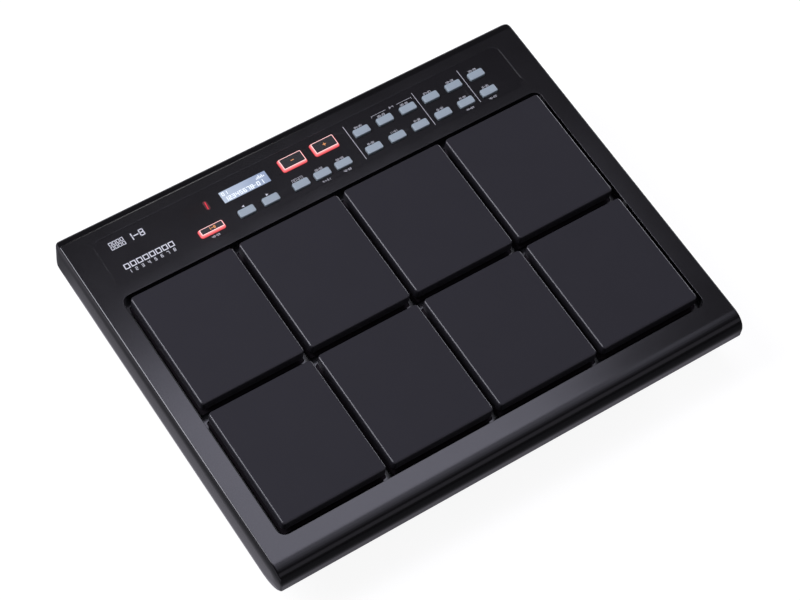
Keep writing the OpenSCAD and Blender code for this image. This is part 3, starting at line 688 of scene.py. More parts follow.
@dataclass(frozen=True)
class Plan:
    """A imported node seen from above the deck, with its lowest and highest level, in millimetres."""

    middle: Flat
    width: float
    depth: float
    low: float
    high: float

    def outline(self, inset: float, corner: float, steps: int = 5) -> list[Flat]:
        """Outline with round corners, drawn in by an inset, or grown by one below nought."""
        return round_rect(self.middle, self.width - 2 * inset, self.depth - 2 * inset, corner, steps)

    def ring(self, inset: float, level: float, corner: float, steps: int = 5) -> list[Spot]:
        """That outline at a level."""
        return at_level(self.outline(inset, corner, steps), level)


class Deck:
    """The sloping deck's own frame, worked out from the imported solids."""

    def __init__(self, frame: dict, drop: float = 0.2) -> None:
        """Finds the frame.

        Args:
            drop: How far the control sheet lies below the deck.
        """
        self.nodes: dict[str, bpy.types.Object] = frame["nodes"]
        press = next(j for j in frame["joints"] if j["name"] == "pad_1_press")
        self.up = Vector(press["axis"]).normalized()
        right = Vector((1.0, 0.0, 0.0))
        self.matrix = Matrix((right, self.up.cross(right), self.up)).transposed().to_4x4()
        spans = [self.extent(f"pad_{i}") for i in PAD_NUMBERS]
        middle = [(min(s[0][k] for s in spans) + max(s[1][k] for s in spans)) / 2 for k in (0, 1)]
        level = self.extent("control_panel")[1].z + drop
        self.matrix.translation = self.matrix @ (Vector((*middle, level)) * MM)

    def extent(self, node: str) -> tuple[Vector, Vector]:
        """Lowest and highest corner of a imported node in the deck's frame, in millimetres."""
        back = self.matrix.inverted()
        spots = [back @ v.co / MM for v in self.nodes[node].data.vertices]
        return (Vector([min(p[k] for p in spots) for k in range(3)]),
                Vector([max(p[k] for p in spots) for k in range(3)]))

    def plan(self, node: str, last: str | None = None) -> Plan:
        """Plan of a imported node, or of the block that it starts and another one ends."""
        low, high = self.extent(node)
        if last:
            high = self.extent(last)[1]
        middle = ((low.x + high.x) / 2, (low.y + high.y) / 2)
        return Plan(middle, high.x - low.x, high.y - low.y, low.z, high.z)

    def put(self, skin: Skin, name: str, finish: Finish, body: str, *nodes: str, sharp: float = 32.0
            ) -> bpy.types.Object:
        """Builds a mesh that was drawn in the deck's frame, and places it.

        Args:
            skin: The mesh.
            name: Name of the piece.
            finish: Its finish.
            body: The body that it rides on.
            nodes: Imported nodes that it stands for.
            sharp: Angle over which an edge stays sharp, in degrees.

        Returns:
            The piece.
        """
        return place(skin.build(name, finish, self.matrix, sharp=sharp), body, *nodes)

    def spot(self, x: float, y: float, z: float) -> Vector:
        """A deck place in the row frame, in metres."""
        return self.matrix @ (Vector((x, y, z)) * MM)


def place(piece: bpy.types.Object, body: str, *nodes: str) -> bpy.types.Object:
    """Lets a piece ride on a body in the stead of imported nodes, and reports it."""
    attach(piece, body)
    if nodes:
        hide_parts(*nodes)
    LOG.info("%s rides on %s", piece.name, body)
    return piece


GREY_KEYS = (["cursor_left_key", "cursor_right_key"] + [f"menu_key_{i}" for i in (1, 2, 3)]
             + [f"rear_key_{i}" for i in range(1, 7)] + [f"front_key_{i}" for i in range(1, 7)])
LIT_BUTTONS = ["mode_button", "minus_button", "plus_button"]
PAD_NUMBERS = range(1, 9)


@dataclass
class CaseShell:
    """Upper shell: nose, cheeks, the well of the pads and the recess of the control strip."""

    deck: Deck
    half_width: float = 185.4
    thick: float = 31.5
    wall: float = 3.0
    front: float = -127.0
    ease_r: float = 26.0
    ease_turn: float = 10.0
    nose_r: float = 11.5
    chin: float = 18.0
    chin_edge: float = 0.8
    low_nose_r: float = 26.0
    crease_y: float = 155.9
    crease_turn: float = 10.0
    crease_r: float = 5.0
    rear_r: float = 9.0
    edge: float = 1.3
    rear_edge: float = 4.0
    low_edge: float = 2.2
    lean: float = 13.0
    bulge: float = 1.1
    bulge_reach: float = 9.5
    lip: float = 0.25
    well_corner: float = 6.0
    well_gap: Flat = (4.3, 4.9)
    rib_top: float = -8.8
    rib_gap: float = 2.6
    rib_corner: float = 2.0
    rib_slack: float = 0.02
    collar: float = 3.0
    collar_depth: float = 10.0
    mouth: Flat = (-105.7, 152.9)
    mouth_lap: float = 0.2
    window_gap: float = 0.3
    window_corner: float = 0.2
    sheet_gap: float = 0.06
    sheet_lip: float = 0.3
    sheet_depth: float = 0.7
    sheet_corner: float = 6.0
    key_gap: float = 0.3
    key_flange: float = 1.0
    key_corner: float = 1.9
    crown_steps: tuple[float, ...] = (9.0, 6.0, 4.0, 2.6, 1.6)
    edge_turns: tuple[float, ...] = (30.0, 50.0, 70.0, 90.0)

    def outline(self, inset: float = 0.0) -> tuple[list[Edge], list[Edge]]:
        """Side outline of the shell: the nose from the deck down to the underside, and the rear back up.

        Args:
            inset: How far the outline is drawn in.

        Returns:
            Both runs of points, each point with the outward direction there.
        """
        front = self.front
        low_z = self.low_nose_r - self.thick
        low_y = front + math.sqrt(self.low_nose_r ** 2 - (self.chin + low_z) ** 2)
        deep = max(self.chin_edge, inset)
        chin_y = front + deep
        chin_z = low_z - math.sqrt((self.low_nose_r - deep) ** 2 - (low_y - chin_y) ** 2)
        meet = math.degrees(math.atan2(chin_z - low_z, chin_y - low_y)) % 360.0
        stop = 180.0 + math.degrees(math.acos((low_y - self.mouth[0] + self.mouth_lap) / self.low_nose_r))
        crest, ease = math.radians(self.crease_turn), math.radians(self.ease_turn)
        more = self.ease_r - self.nose_r
        turn = 90.0 + self.ease_turn
        nose = (((front + self.nose_r + more * math.sin(ease), -self.ease_r), self.ease_r, 90.0, turn, 6),
                ((front + self.nose_r, more * math.cos(ease) - self.ease_r), self.nose_r, turn, 180.0, 16),
                ((chin_y, chin_z), deep, 180.0, meet, 5),
                ((low_y, low_z), self.low_nose_r, meet, stop, 12))
        rear = (((self.crease_y, self.rear_r - self.thick), self.rear_r, 270.0, 360.0, 12),
                ((self.crease_y, -self.rear_r), self.rear_r, 0.0, 90.0 - self.crease_turn, 14),
                ((self.crease_y + (self.rear_r - self.crease_r) * math.tan(crest / 2), -self.crease_r),
                 self.crease_r, 90.0 - self.crease_turn, 90.0, 4))
        runs = []
        for turns in (nose, rear):
            points: list[Edge] = []
            for middle, radius, start, end, steps in turns:
                for y, z in arc((0.0, 0.0), 1.0, start, end, steps):
                    points.append((middle[0] + y * (radius - inset), middle[1] + z * (radius - inset), y, z))
            runs.append(points)
        return runs[0], runs[1]

    def cheek_ring(self, side: int, depth: float) -> list[Spot]:
        """One ring of a cheek, which is rounded along its rim and slightly crowned.

        Args:
            side: Which cheek, -1 or 1.
            depth: How far the ring lies inside the side outline.

        Returns:
            The ring's points.
        """
        ring = []
        nose, rear = self.outline(depth)
        for y, z, ny, nz in nose + rear:
            radius = max(self.edge, self.rear_edge * ny * max(ny, 0.0),
                         self.low_edge * nz * min(nz, 0.0))
            join = radius * (1.0 - math.sin(math.radians(self.lean)))
            if depth < join:
                x = self.half_width - radius + math.sqrt(radius ** 2 - (radius - depth) ** 2)
            else:
                share = min(1.0, (depth - join) / self.bulge_reach)
                x = self.half_width + self.bulge * (1.0 - (1.0 - share) ** 2)
            ring.append((side * x, y, z))
        return ring

    def well(self, grow: float) -> list[Flat]:
        """Outline of the well round all pads, grown by a gap."""
        pads = self.deck.plan("pad_5", "pad_4")
        return round_rect(pads.middle, pads.width + 2 * (self.well_gap[0] + grow),
                          pads.depth + 2 * (self.well_gap[1] + grow), self.well_corner + grow, 10)

    def ribs(self) -> None:
        """Builds the ribs between the pads' plates on the well's floor."""
        outlines = [self.well(-self.rib_slack)]
        outlines += [self.deck.plan(f"pad_plate_{i}").outline(-self.rib_gap, self.rib_corner, 4)
                     for i in PAD_NUMBERS]
        skin = Skin()
        levels = (self.deck.plan("pad_foams").low, self.rib_top)
        rings = [[skin.ring(at_level(outline, level)) for outline in outlines] for level in levels]
        for level in rings:
            skin.fill(*level)
        for first, second in zip(*rings):
            skin.band(first, second)
        self.deck.put(skin, "well_ribs", CASE, "case")

    def edge_rings(self, skin: Skin, outline: Callable[[float], list[Flat]], lip: float, floor: float
                   ) -> tuple[list[int], list[int]]:
        """Rounds an opening's edge and runs its wall down.

        Args:
            skin: The mesh to add to.
            outline: Gives the opening's outline for a gap that it is grown by.
            lip: Radius of the edge.
            floor: Level where the wall ends.

        Returns:
            The ring on the deck and the ring at the wall's foot.
        """
        rings = [skin.ring(at_level(outline(grow), level)) for grow, level in rounded_edge(lip, 0.0, 4)[::-1]]
        rings.append(skin.ring(at_level(outline(0.0), floor)))
        for first, second in zip(rings, rings[1:]):
            skin.band(first, second)
        return rings[0], rings[-1]

    def holes(self) -> list[list[Flat]]:
        """Outlines of the holes for the keys, the lit buttons and the displays."""
        lap = self.key_flange - self.key_gap
        return ([self.deck.plan(name).outline(lap, self.key_corner, 4) for name in GREY_KEYS + LIT_BUTTONS]
                + [self.deck.plan(name).outline(-self.window_gap, self.window_corner, 1)
                   for name in ("screen_module", "digit_module")])

    def build(self) -> None:
        """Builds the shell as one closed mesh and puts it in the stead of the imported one."""
        skin = Skin()
        depths = list(self.crown_steps)
        depths += [self.edge * (1.0 - math.sin(math.radians(t))) for t in (self.lean, *self.edge_turns)]
        left = [skin.ring(self.cheek_ring(-1, d)) for d in depths]
        right = [skin.ring(self.cheek_ring(1, d)) for d in depths]
        for rings in (left, right):
            skin.fill(rings[0])
            for first, second in zip(rings, rings[1:]):
                skin.band(first, second)
        outer_left, outer_right = left[-1], right[-1]
        split = len(self.outline()[0])
        skin.band(outer_left[:split], outer_right[:split], closed=False)
        skin.band(outer_left[split:], outer_right[split:], closed=False)

        sheet = self.deck.plan("control_panel")

        def recess(grow: float) -> list[Flat]:
            """Outline of the control sheet's recess, grown by a gap."""
            more = self.sheet_gap + grow
            return sheet.outline(-more, self.sheet_corner + more, 8)

        well_top, well_foot = self.edge_rings(skin, self.well, self.lip, -self.collar_depth)
        recess_top, recess_foot = self.edge_rings(skin, recess, self.sheet_lip, -self.sheet_depth)
        skin.fill([outer_left[-1], outer_left[0], outer_right[0], outer_right[-1]], well_top, recess_top)
        upper = [skin.ring(at_level(h, -self.sheet_depth)) for h in self.holes()]
        lower = [skin.ring(at_level(h, -self.wall)) for h in self.holes()]
        skin.fill(recess_foot, *upper)
        for first, second in zip(upper, lower):
            skin.band(first, second)

        foot = [skin.points[i] for i in well_foot]
        reach_x = max(p.x for p in foot) + self.collar
        reach_y = max(p.y for p in foot) + self.collar
        box = [(-reach_x, -reach_y), (reach_x, -reach_y), (reach_x, reach_y), (-reach_x, reach_y)]
        collar_low = skin.ring(at_level(box, -self.collar_depth))
        collar_high = skin.ring(at_level(box, -self.wall))
        skin.fill(collar_low, well_foot)
        skin.band(collar_low, collar_high)

        inner_nose, inner_rear = ([(y, z) for y, z, _, _ in run] for run in self.outline(self.wall))
        front, rear = self.mouth
        floor = self.wall - self.thick
        rim = [(front, self.outline()[0][-1][1])] + inner_nose[::-1] + inner_rear[::-1] \
            + [(rear, floor), (rear, -self.thick)]
        inside = self.half_width - self.wall
        ends = [skin.ring([(s * inside, y, z) for y, z in rim]) for s in (-1, 1)]
        turn = len(inner_nose) + 1
        for end in ends:
            skin.fill(end)
        skin.band(ends[0][:turn], ends[1][:turn], closed=False)
        skin.band(ends[0][turn:], ends[1][turn:], closed=False)
        skin.fill([ends[0][turn - 1], ends[0][turn], ends[1][turn], ends[1][turn - 1]], collar_high, *lower)
        skin.fill([outer_left[split - 1], outer_left[split], outer_right[split], outer_right[split - 1]],
                  [ends[0][0], ends[0][-1], ends[1][-1], ends[1][0]])
        place(skin.build("upper_shell", CASE, self.deck.matrix, baked=True), "case", "top_shell")
        self.ribs()


@dataclass
class PadBank:
    """Eight rubber pads, and the foam cushions that they give on."""

    deck: Deck
    corner: float = 2.6
    edge: float = 1.45
    rear_share: float = 0.45
    foot_edge: float = 0.6
    foam_inset: float = 2.3
    foam_bulge: float = 0.7
    foam_steps: int = 8
    foam_keep: float = 0.86

    def pad(self, name: str) -> None:
        """Builds one pad with a rounded upper edge."""
        plan = self.deck.plan(name)

        def ring(inset: float, level: float) -> list[Spot]:
            """Outline of the pad, drawn in (less so at the rear), at a level."""
            slip = inset * (1.0 - self.rear_share) / 2
            middle = (plan.middle[0], plan.middle[1] + slip)
            return at_level(round_rect(middle, plan.width - 2 * inset, plan.depth - 2 * (inset - slip),
                                       self.corner - inset, 7), level)

        skin = Skin()
        skin.loft([ring(self.foot_edge, plan.low), ring(0.0, plan.low + self.foot_edge)]
                  + [ring(*step) for step in rounded_edge(self.edge, plan.high, 7)])
        self.deck.put(skin, f"rubber_{name}", PADS, name, name)

    def cushion(self, number: int) -> None:
        """Builds the foam cushion under one pad."""
        plate, foams = self.deck.plan(f"pad_plate_{number}"), self.deck.plan("pad_foams")
        rings = []
        for i in range(self.foam_steps + 1):
            turn = math.pi * i / self.foam_steps
            inset = self.foam_inset + self.foam_bulge * (1 - math.sin(turn))
            level = foams.low + (foams.high - foams.low) * (1 - math.cos(turn)) / 2
            rings.append(plate.ring(inset, level, self.corner))
        skin = Skin()
        skin.loft(rings)
        made = self.deck.put(skin, f"foam_cushion_{number}", BLACK_FOAM, "case", "pad_foams")
        tuple(self.deck.spot(*plate.middle, foams.low))
        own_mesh(made)

    def build(self) -> None:
        """Builds all pads and cushions."""
        for number in PAD_NUMBERS:
            self.pad(f"pad_{number}")
            self.cushion(number)


@dataclass
class KeyBank:
    """The grey keys and the lit buttons."""

    deck: Deck
    lap: float = 1.0
    flange: float = 1.0
    corner: float = 1.2
    least_corner: float = 0.25
    edge: float = 0.6
    crown: float = 0.12
    crown_share: float = 0.75
    crown_reach: Flat = (0.8, 1.6)
    lit_corner: float = 1.1
    lit_slope: float = 0.95
    inlay: float = 0.36
    inlay_rise: float = 0.05
    mark_height: float = 2.3
    mark_stroke: float = 0.18
    sign: Flat = (2.5, 0.55)
    sign_arm: Flat = (0.76, 0.97)

    def grey_key(self, name: str) -> None:
        """Builds one grey key with a rounded, slightly crowned top and its flange."""
        plan = self.deck.plan(name)
        shoulder, top = plan.low + self.flange, plan.high - self.crown
        near, far = (self.edge + reach for reach in self.crown_reach)
        steps = [(-self.lap, plan.low), (-self.lap, shoulder), (0.0, shoulder)]
        steps += rounded_edge(self.edge, top, 5)
        steps += [(near, top + self.crown_share * self.crown), (far, plan.high)]
        skin = Skin()
        skin.loft([plan.ring(self.lap + inset, level, max(self.least_corner, self.corner - max(0.0, inset)))
                   for inset, level in steps])
        self.deck.put(skin, f"cap_{name}", KEYS, name, name)

    def lit_button(self, name: str) -> tuple[Flat, float]:
        """Builds one lit button: a glowing cap with leaning walls and a black inlay.

        Args:
            name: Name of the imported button.

        Returns:
            The inlay's middle and the level of its face.
        """
        plan = self.deck.plan(name)
        slope, top, shoulder = self.lit_slope, plan.high, plan.low + self.flange
        cap = Skin()
        cap.loft([plan.ring(self.lap + inset, level, self.lit_corner - less) for inset, level, less in (
            (-self.lap, plan.low, 0.0), (-self.lap, shoulder, 0.0), (0.0, shoulder, 0.0), (0.0, 0.1, 0.0),
            (0.3, 0.55, 0.1), (slope - 0.2, top - 0.3, 0.3), (slope - 0.1, top - 0.1, 0.4),
            (slope + 0.05, top, 0.5))])
        self.deck.put(cap, f"cap_{name}", GLOW, name, name, sharp=50.0)
        inset, face = self.lap + slope + self.inlay, top + self.inlay_rise
        plate = Skin()
        plate.loft([plan.ring(inset, top - 0.3, 0.4), plan.ring(inset, face - 0.03, 0.4),
                    plan.ring(inset + 0.05, face, 0.35)])
        self.deck.put(plate, f"inlay_{name}", BLACK, name)
        return plan.middle, face

    def build(self) -> None:
        """Builds all keys, and the buttons with the marks on their inlays."""
        for name in GREY_KEYS:
            self.grey_key(name)
        for name in LIT_BUTTONS:
            (x, y), face = self.lit_button(name)
            long, thin = self.sign
            stamp = Stamp(face - 0.02, face + 0.02)
            if name == "mode_button":
                stamp.caption("1-8", (x, y - self.mark_height / 2), self.mark_height, self.mark_stroke)
            else:
                stamp.box((x, y), long, thin)
            if name == "plus_button":
                away, arm = self.sign_arm
                for side in (1, -1):
                    stamp.box((x, y + side * away), thin, arm)
            self.deck.put(stamp, f"mark_{name}", AMBER, name)


@dataclass
class ControlStrip:
    """The control sheet's print, the lit screen and the red digits."""

    deck: Deck
    glass_level: float = -0.45
    window_level: float = -0.22
    print_level: float = -0.2
    print_root: float = 0.03
    pane_corner: float = 0.3
    screen_bezel: float = 2.15
    digit_bezel: float = 1.02
    screen_text: Flat = (2.9, 3.4)
    screen_rows: Flat = (0.9, -3.9)
    screen_stroke: float = 0.19
    screen_margin: float = 1.6
    screen_dash: Spot = (23.4, 2.1, 0.5)
    screen_last: float = 25.6
    screen_bars: tuple[float, ...] = (1.0, 1.9, 2.8, 1.7, 2.4, 1.2)
    bars_left: float = 8.2
    bar_pitch: float = 1.15
    bar_width: float = 0.7
    digit_height: float = 6.0
    digit_pitch: float = 6.1
    digit_lean: float = 0.1
    digits_left: float = 8.6
    # Place and size of the painted glow patch round the lit numeral.
    halo_right: float = 6.9
    halo_size: Spot = (3.2, 7.6, 1.5)
    group_lines: tuple[float, ...] = (33.0, 90.65, 129.35)
    group_span: Flat = (113.3, 144.2)
    brace_level: float = 141.4
    label_height: float = 1.55
    label_rise: float = 4.2
    label_drop: float = 6.4
    rule: float = 0.34
    hair: float = 0.22

    def pane(self, name: str, finish: Finish, node: str, bezel: float, level: float, edge: float) -> Plan:
        """Builds a display's pane.

        Args:
            name: Name of the piece.
            finish: Its finish.
            node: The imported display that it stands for.
            bezel: Frame round the pane.
            level: Level of its face.
            edge: Width and depth of its sloping edge.

        Returns:
            The display's plan.
        """
        plan = self.deck.plan(node)
        skin = Skin()
        skin.loft([plan.ring(bezel + inset, height, self.pane_corner, 3)
                   for inset, height in ((0.0, plan.low), (0.0, level - edge), (edge, level))])
        self.deck.put(skin, name, finish, "case", node)
        return plan

    def screen(self) -> None:
        """Builds the lit screen and what it shows: numerals and small bars."""
        level, bezel = self.glass_level, self.screen_bezel
        plan = self.pane("screen_face", SCREEN, "screen_module", bezel, level, 0.1)
        (x, y), reach = plan.middle, plan.width / 2 - bezel
        stamp = Stamp(level - self.print_root, level + 0.01)
        left = x - reach + self.screen_margin
        small, tall = self.screen_text
        high, low = (y + row for row in self.screen_rows)
        stamp.numeral("01", (left, high), small, self.screen_stroke)
        stamp.numeral("12345678", (left, low), tall, self.screen_stroke)
        for i, bar in enumerate(self.screen_bars):
            spot = x + reach - self.bars_left + self.bar_pitch * i
            stamp.box((spot, high + bar / 2), self.bar_width, bar)
        away, long, thin = self.screen_dash
        stamp.box((left + away, low + tall / 2), long, thin)
        stamp.numeral("01", (left + self.screen_last, low), tall, self.screen_stroke)
        self.deck.put(stamp, "screen_print", SCREEN_INK, "case")

    def digits(self) -> None:
        """Builds the digits' dark window, the unlit strokes, the lit numeral and a painted glow patch round
        it.
        """
        level, tall = self.window_level, self.digit_height
        x, y = self.pane("digit_face", WINDOW, "digit_module", self.digit_bezel, level, 0.02).middle
        dark, halo, lit = (Stamp(level - self.print_root, level + rise) for rise in (0.005, 0.007, 0.01))
        first = x - self.digits_left
        for i in range(3):
            dark.numeral("8", (first + self.digit_pitch * i, y - tall / 2), tall, 0.12, self.digit_lean)
        # Painted glow round the lit numeral.
        halo.patch(round_rect((x + self.halo_right, y), *self.halo_size, 5))
        lit.numeral("1", (first + 2 * self.digit_pitch, y - tall / 2), tall, 0.13, self.digit_lean)
        self.deck.put(dark, "digit_unlit_strokes", UNLIT, "case")
        self.deck.put(halo, "digit_painted_glow", HALO, "case")
        self.deck.put(lit, "digit_lit_strokes", DIGIT, "case")

    def labels(self) -> None:
        """Prints the sheet: lines between the groups, a numeral over each key and the panel's marks."""
        level, small = self.print_level, self.label_height
        ink, faint = (Stamp(level - self.print_root, level + rise) for rise in (0.015, 0.012))
        for x in self.group_lines:
            ink.line((x, self.group_span[0]), (x, self.group_span[1]), self.rule)
        brace = self.brace_level
        for start, end, hook in ((54.8, 67.0, 54.8), (76.0, 88.2, 88.2)):
            faint.line((start, brace), (end, brace), self.hair)
            faint.line((hook, brace + 0.1), (hook, brace - 1.2), self.hair)
        faint.caption("3-4", (71.5, brace - 0.7), small)
        for number, name in enumerate(GREY_KEYS[2:], 1):
            x, y = self.deck.plan(name).middle
            faint.caption(f"{number:02d}-{number + 20}", (x, y + self.label_rise), small)
        x, y = self.deck.plan("menu_key_1").middle
        faint.frame((x, y + 4.95), 8.6, 2.9, self.hair)
        for name, side in (("cursor_left_key", -1), ("cursor_right_key", 1)):
            x, y = self.deck.plan(name).middle
            arrow = [(x - side * 0.9, y + 4.3), (x + side * 1.1, y + 5.2), (x - side * 0.9, y + 6.1)]
            ink.patch(arrow[::side])
        captioned = ("menu_key_2", "menu_key_3", "mode_button", "front_key_5", "front_key_6")
        for number, name in enumerate(captioned, 41):
            x, y = self.deck.plan(name).middle
            faint.caption(f"{number}-{number + 10}", (x, y - self.label_drop), small)
        self.pad_signs(ink)
        self.deck.put(ink, "sheet_print", INK, "case")
        self.deck.put(faint, "sheet_fine_print", FAINT_INK, "case")

    def pad_signs(self, ink: Stamp) -> None:
        """Prints a small plan of the pads with its numerals, and a row of boxes with a numeral under each."""
        plan_left, plan_front, row_left, row_level, caption_level = -154.6, 138.5, -153.4, 121.6, 115.6
        plan_pitch, row_pitch = (2.9, 3.5), 4.9
        for i in range(8):
            across, back = i % 4, i // 4
            ink.frame((plan_left + plan_pitch[0] * across, plan_front + plan_pitch[1] * back), 2.4, 2.9, 0.5)
            ink.frame((row_left + row_pitch * i, row_level), 4.1, 4.3, 0.75)
            ink.caption(str(i + 1), (row_left + row_pitch * i, caption_level), 2.6)
        ink.numeral("1-8", (-141.6, 137.2), 5.6, 0.15)

    def build(self) -> None:
        """Builds the displays and the print."""
        self.screen()
        self.digits()
        self.labels()


@dataclass
class RearPanel:
    """Print on the rear panel beside its sockets and controls."""

    height: float = 2.6
    scale: Flat = (9.4, 10.8)
    scale_marks: int = 11
    scale_start: float = 240.0
    scale_step: float = 30.0
    line: float = 0.4
    jack_reach: float = 7.5
    round_reach: float = 9.5
    jack_rise: float = 11.0
    round_rise: float = 12.4
    mark_rise: float = 11.4
    mark_frame: Spot = (5.2, 3.2, 0.35)
    power_bow: Spot = (1.7, 125.0, 415.0)
    power_stroke: Flat = (0.2, 2.1)

    def build(self) -> None:
        """Prints a numeral over each socket, a scale round the knob and a mark by the power button."""
        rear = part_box("rear_panel")[1].y
        turn = Matrix(((-1.0, 0.0, 0.0, 0.0), (0.0, 0.0, 1.0, rear), (0.0, 1.0, 0.0, 0.0),
                       (0.0, 0.0, 0.0, 1.0)))
        stamp = Stamp(-0.02, 0.025)
        knob_low, knob_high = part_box("volume_knob")
        x, z = self.across("volume_knob"), (knob_low.z + knob_high.z) / 2 / MM
        for i in range(self.scale_marks):
            angle = math.radians(self.scale_start - self.scale_step * i)
            start, end = ((x + r * math.cos(angle), z + r * math.sin(angle)) for r in self.scale)
            stamp.line(start, end, self.line)
        low, high = (p.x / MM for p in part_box("phone_jacks"))
        first, run = low + self.jack_reach, high - low - 2 * self.jack_reach
        for i in range(6):
            self.caption(stamp, i, first + run * i / 5, z + self.jack_rise)
        low, high = (p.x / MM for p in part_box("round_sockets"))
        for i, spot in enumerate((high - self.round_reach, low + self.round_reach)):
            self.caption(stamp, i, spot, z + self.round_rise)
        for node in ("data_socket", "power_inlet"):
            stamp.frame((self.across(node), z + self.mark_rise), *self.mark_frame)
        x, y = self.across("power_button"), z + self.mark_rise
        radius, start, end = self.power_bow
        stamp.bow((x, y), radius, self.line, start, end)
        stamp.line(*((x, y + rise) for rise in self.power_stroke), self.line)
        place(stamp.build("rear_print", REAR_INK, turn), "case")

    @staticmethod
    def across(node: str) -> float:
        """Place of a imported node's middle across the panel, seen from behind, in millimetres."""
        low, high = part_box(node)
        return -(low.x + high.x) / 2 / MM

    def caption(self, stamp: Stamp, index: int, x: float, z: float) -> None:
        """Prints the numeral after an index with its middle at a place."""
        stamp.caption(str(index + 1), (-x, z - self.height / 2), self.height)


@dataclass
class KeptSolids:
    """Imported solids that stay, with softened edges and their finishes."""

    nodes: dict[str, bpy.types.Object]
    finishes: dict[str, Finish] = field(default_factory=lambda: {
        "bottom_shell": BASE, "rear_panel": STEEL, "control_panel": SHEET, "panel_board": GREEN_BOARD,
        "main_board": GREEN_BOARD, "pad_tray": HOLLOW, "sensor_discs": BRASS, "phone_jacks": SOCKET,
        "panel_nuts": NICKEL, "round_sockets": SOCKET, "data_socket": NICKEL, "power_inlet": SOCKET,
        "power_switch": SOCKET, "power_button": KNOB, "volume_pot": NICKEL, "volume_shaft": NICKEL,
        "volume_knob": KNOB, "feet": FOOT, "stand_inserts": BRASS, "screws": BLACK_ZINC,
        **{f"pad_plate_{i}": ZINC for i in PAD_NUMBERS}})
    softened: dict[str, float] = field(default_factory=lambda: {
        "bottom_shell": 0.5, "rear_panel": 0.25, "phone_jacks": 0.25, "panel_nuts": 0.25,
        "round_sockets": 0.25, "data_socket": 0.2, "power_inlet": 0.2, "power_button": 0.5,
        "volume_knob": 0.2, "feet": 0.6, "screws": 0.15})
    weld: float = 0.005
    soft_angle: float = 38.0

    def build(self) -> None:
        """Dresses each kept solid."""
        for name, finish in self.finishes.items():
            piece = self.nodes[name]
            piece.data.materials.clear()
            piece.data.materials.append(finish.material())
            weld = piece.modifiers.new("weld", "WELD")
            weld.merge_threshold = self.weld * MM
            if name in self.softened:
                soft = piece.modifiers.new("soft_edges", "BEVEL")
                soft.width = self.softened[name] * MM
                soft.segments = 2
                soft.limit_method = "ANGLE"
                soft.angle_limit = math.radians(self.soft_angle)
            weigh = piece.modifiers.new("even_faces", "WEIGHTED_NORMAL")
            weigh.keep_sharp = True
            LOG.info("%s keeps its solid in %s", name, finish.name)


COOL: Colour = (0.95, 0.94, 1.14)
PALE: Colour = (0.97, 0.97, 1.08)
NOSE: Spot = (0.53, -0.1, 0.06)


@dataclass(frozen=True)
class Lamp:
    """A soft lamp: its place, size in metres, brightness and tint, and its aim if not straight down."""

    name: str
    spot: Spot
    size: Flat
    bright: float
    colour: Colour = (1.0, 1.0, 1.0)
    aim: Spot | None = None

    def build(self) -> None:
        """Hangs the lamp."""
        data = bpy.data.lights.new(self.name, "AREA")
        data.shape = "RECTANGLE"
        data.size, data.size_y = self.size
        data.energy = self.bright * math.pi * self.size[0] * self.size[1]
        data.color = self.colour
        made = bpy.data.objects.new(self.name, data)
        bpy.context.scene.collection.objects.link(made)
        made.location = self.spot
        made.rotation_mode = "QUATERNION"
        aim = self.aim or (*self.spot[:2], 0.0)
        made.rotation_quaternion = (Vector(aim) - Vector(self.spot)).to_track_quat("-Z", "Y")
        made.visible_camera = False


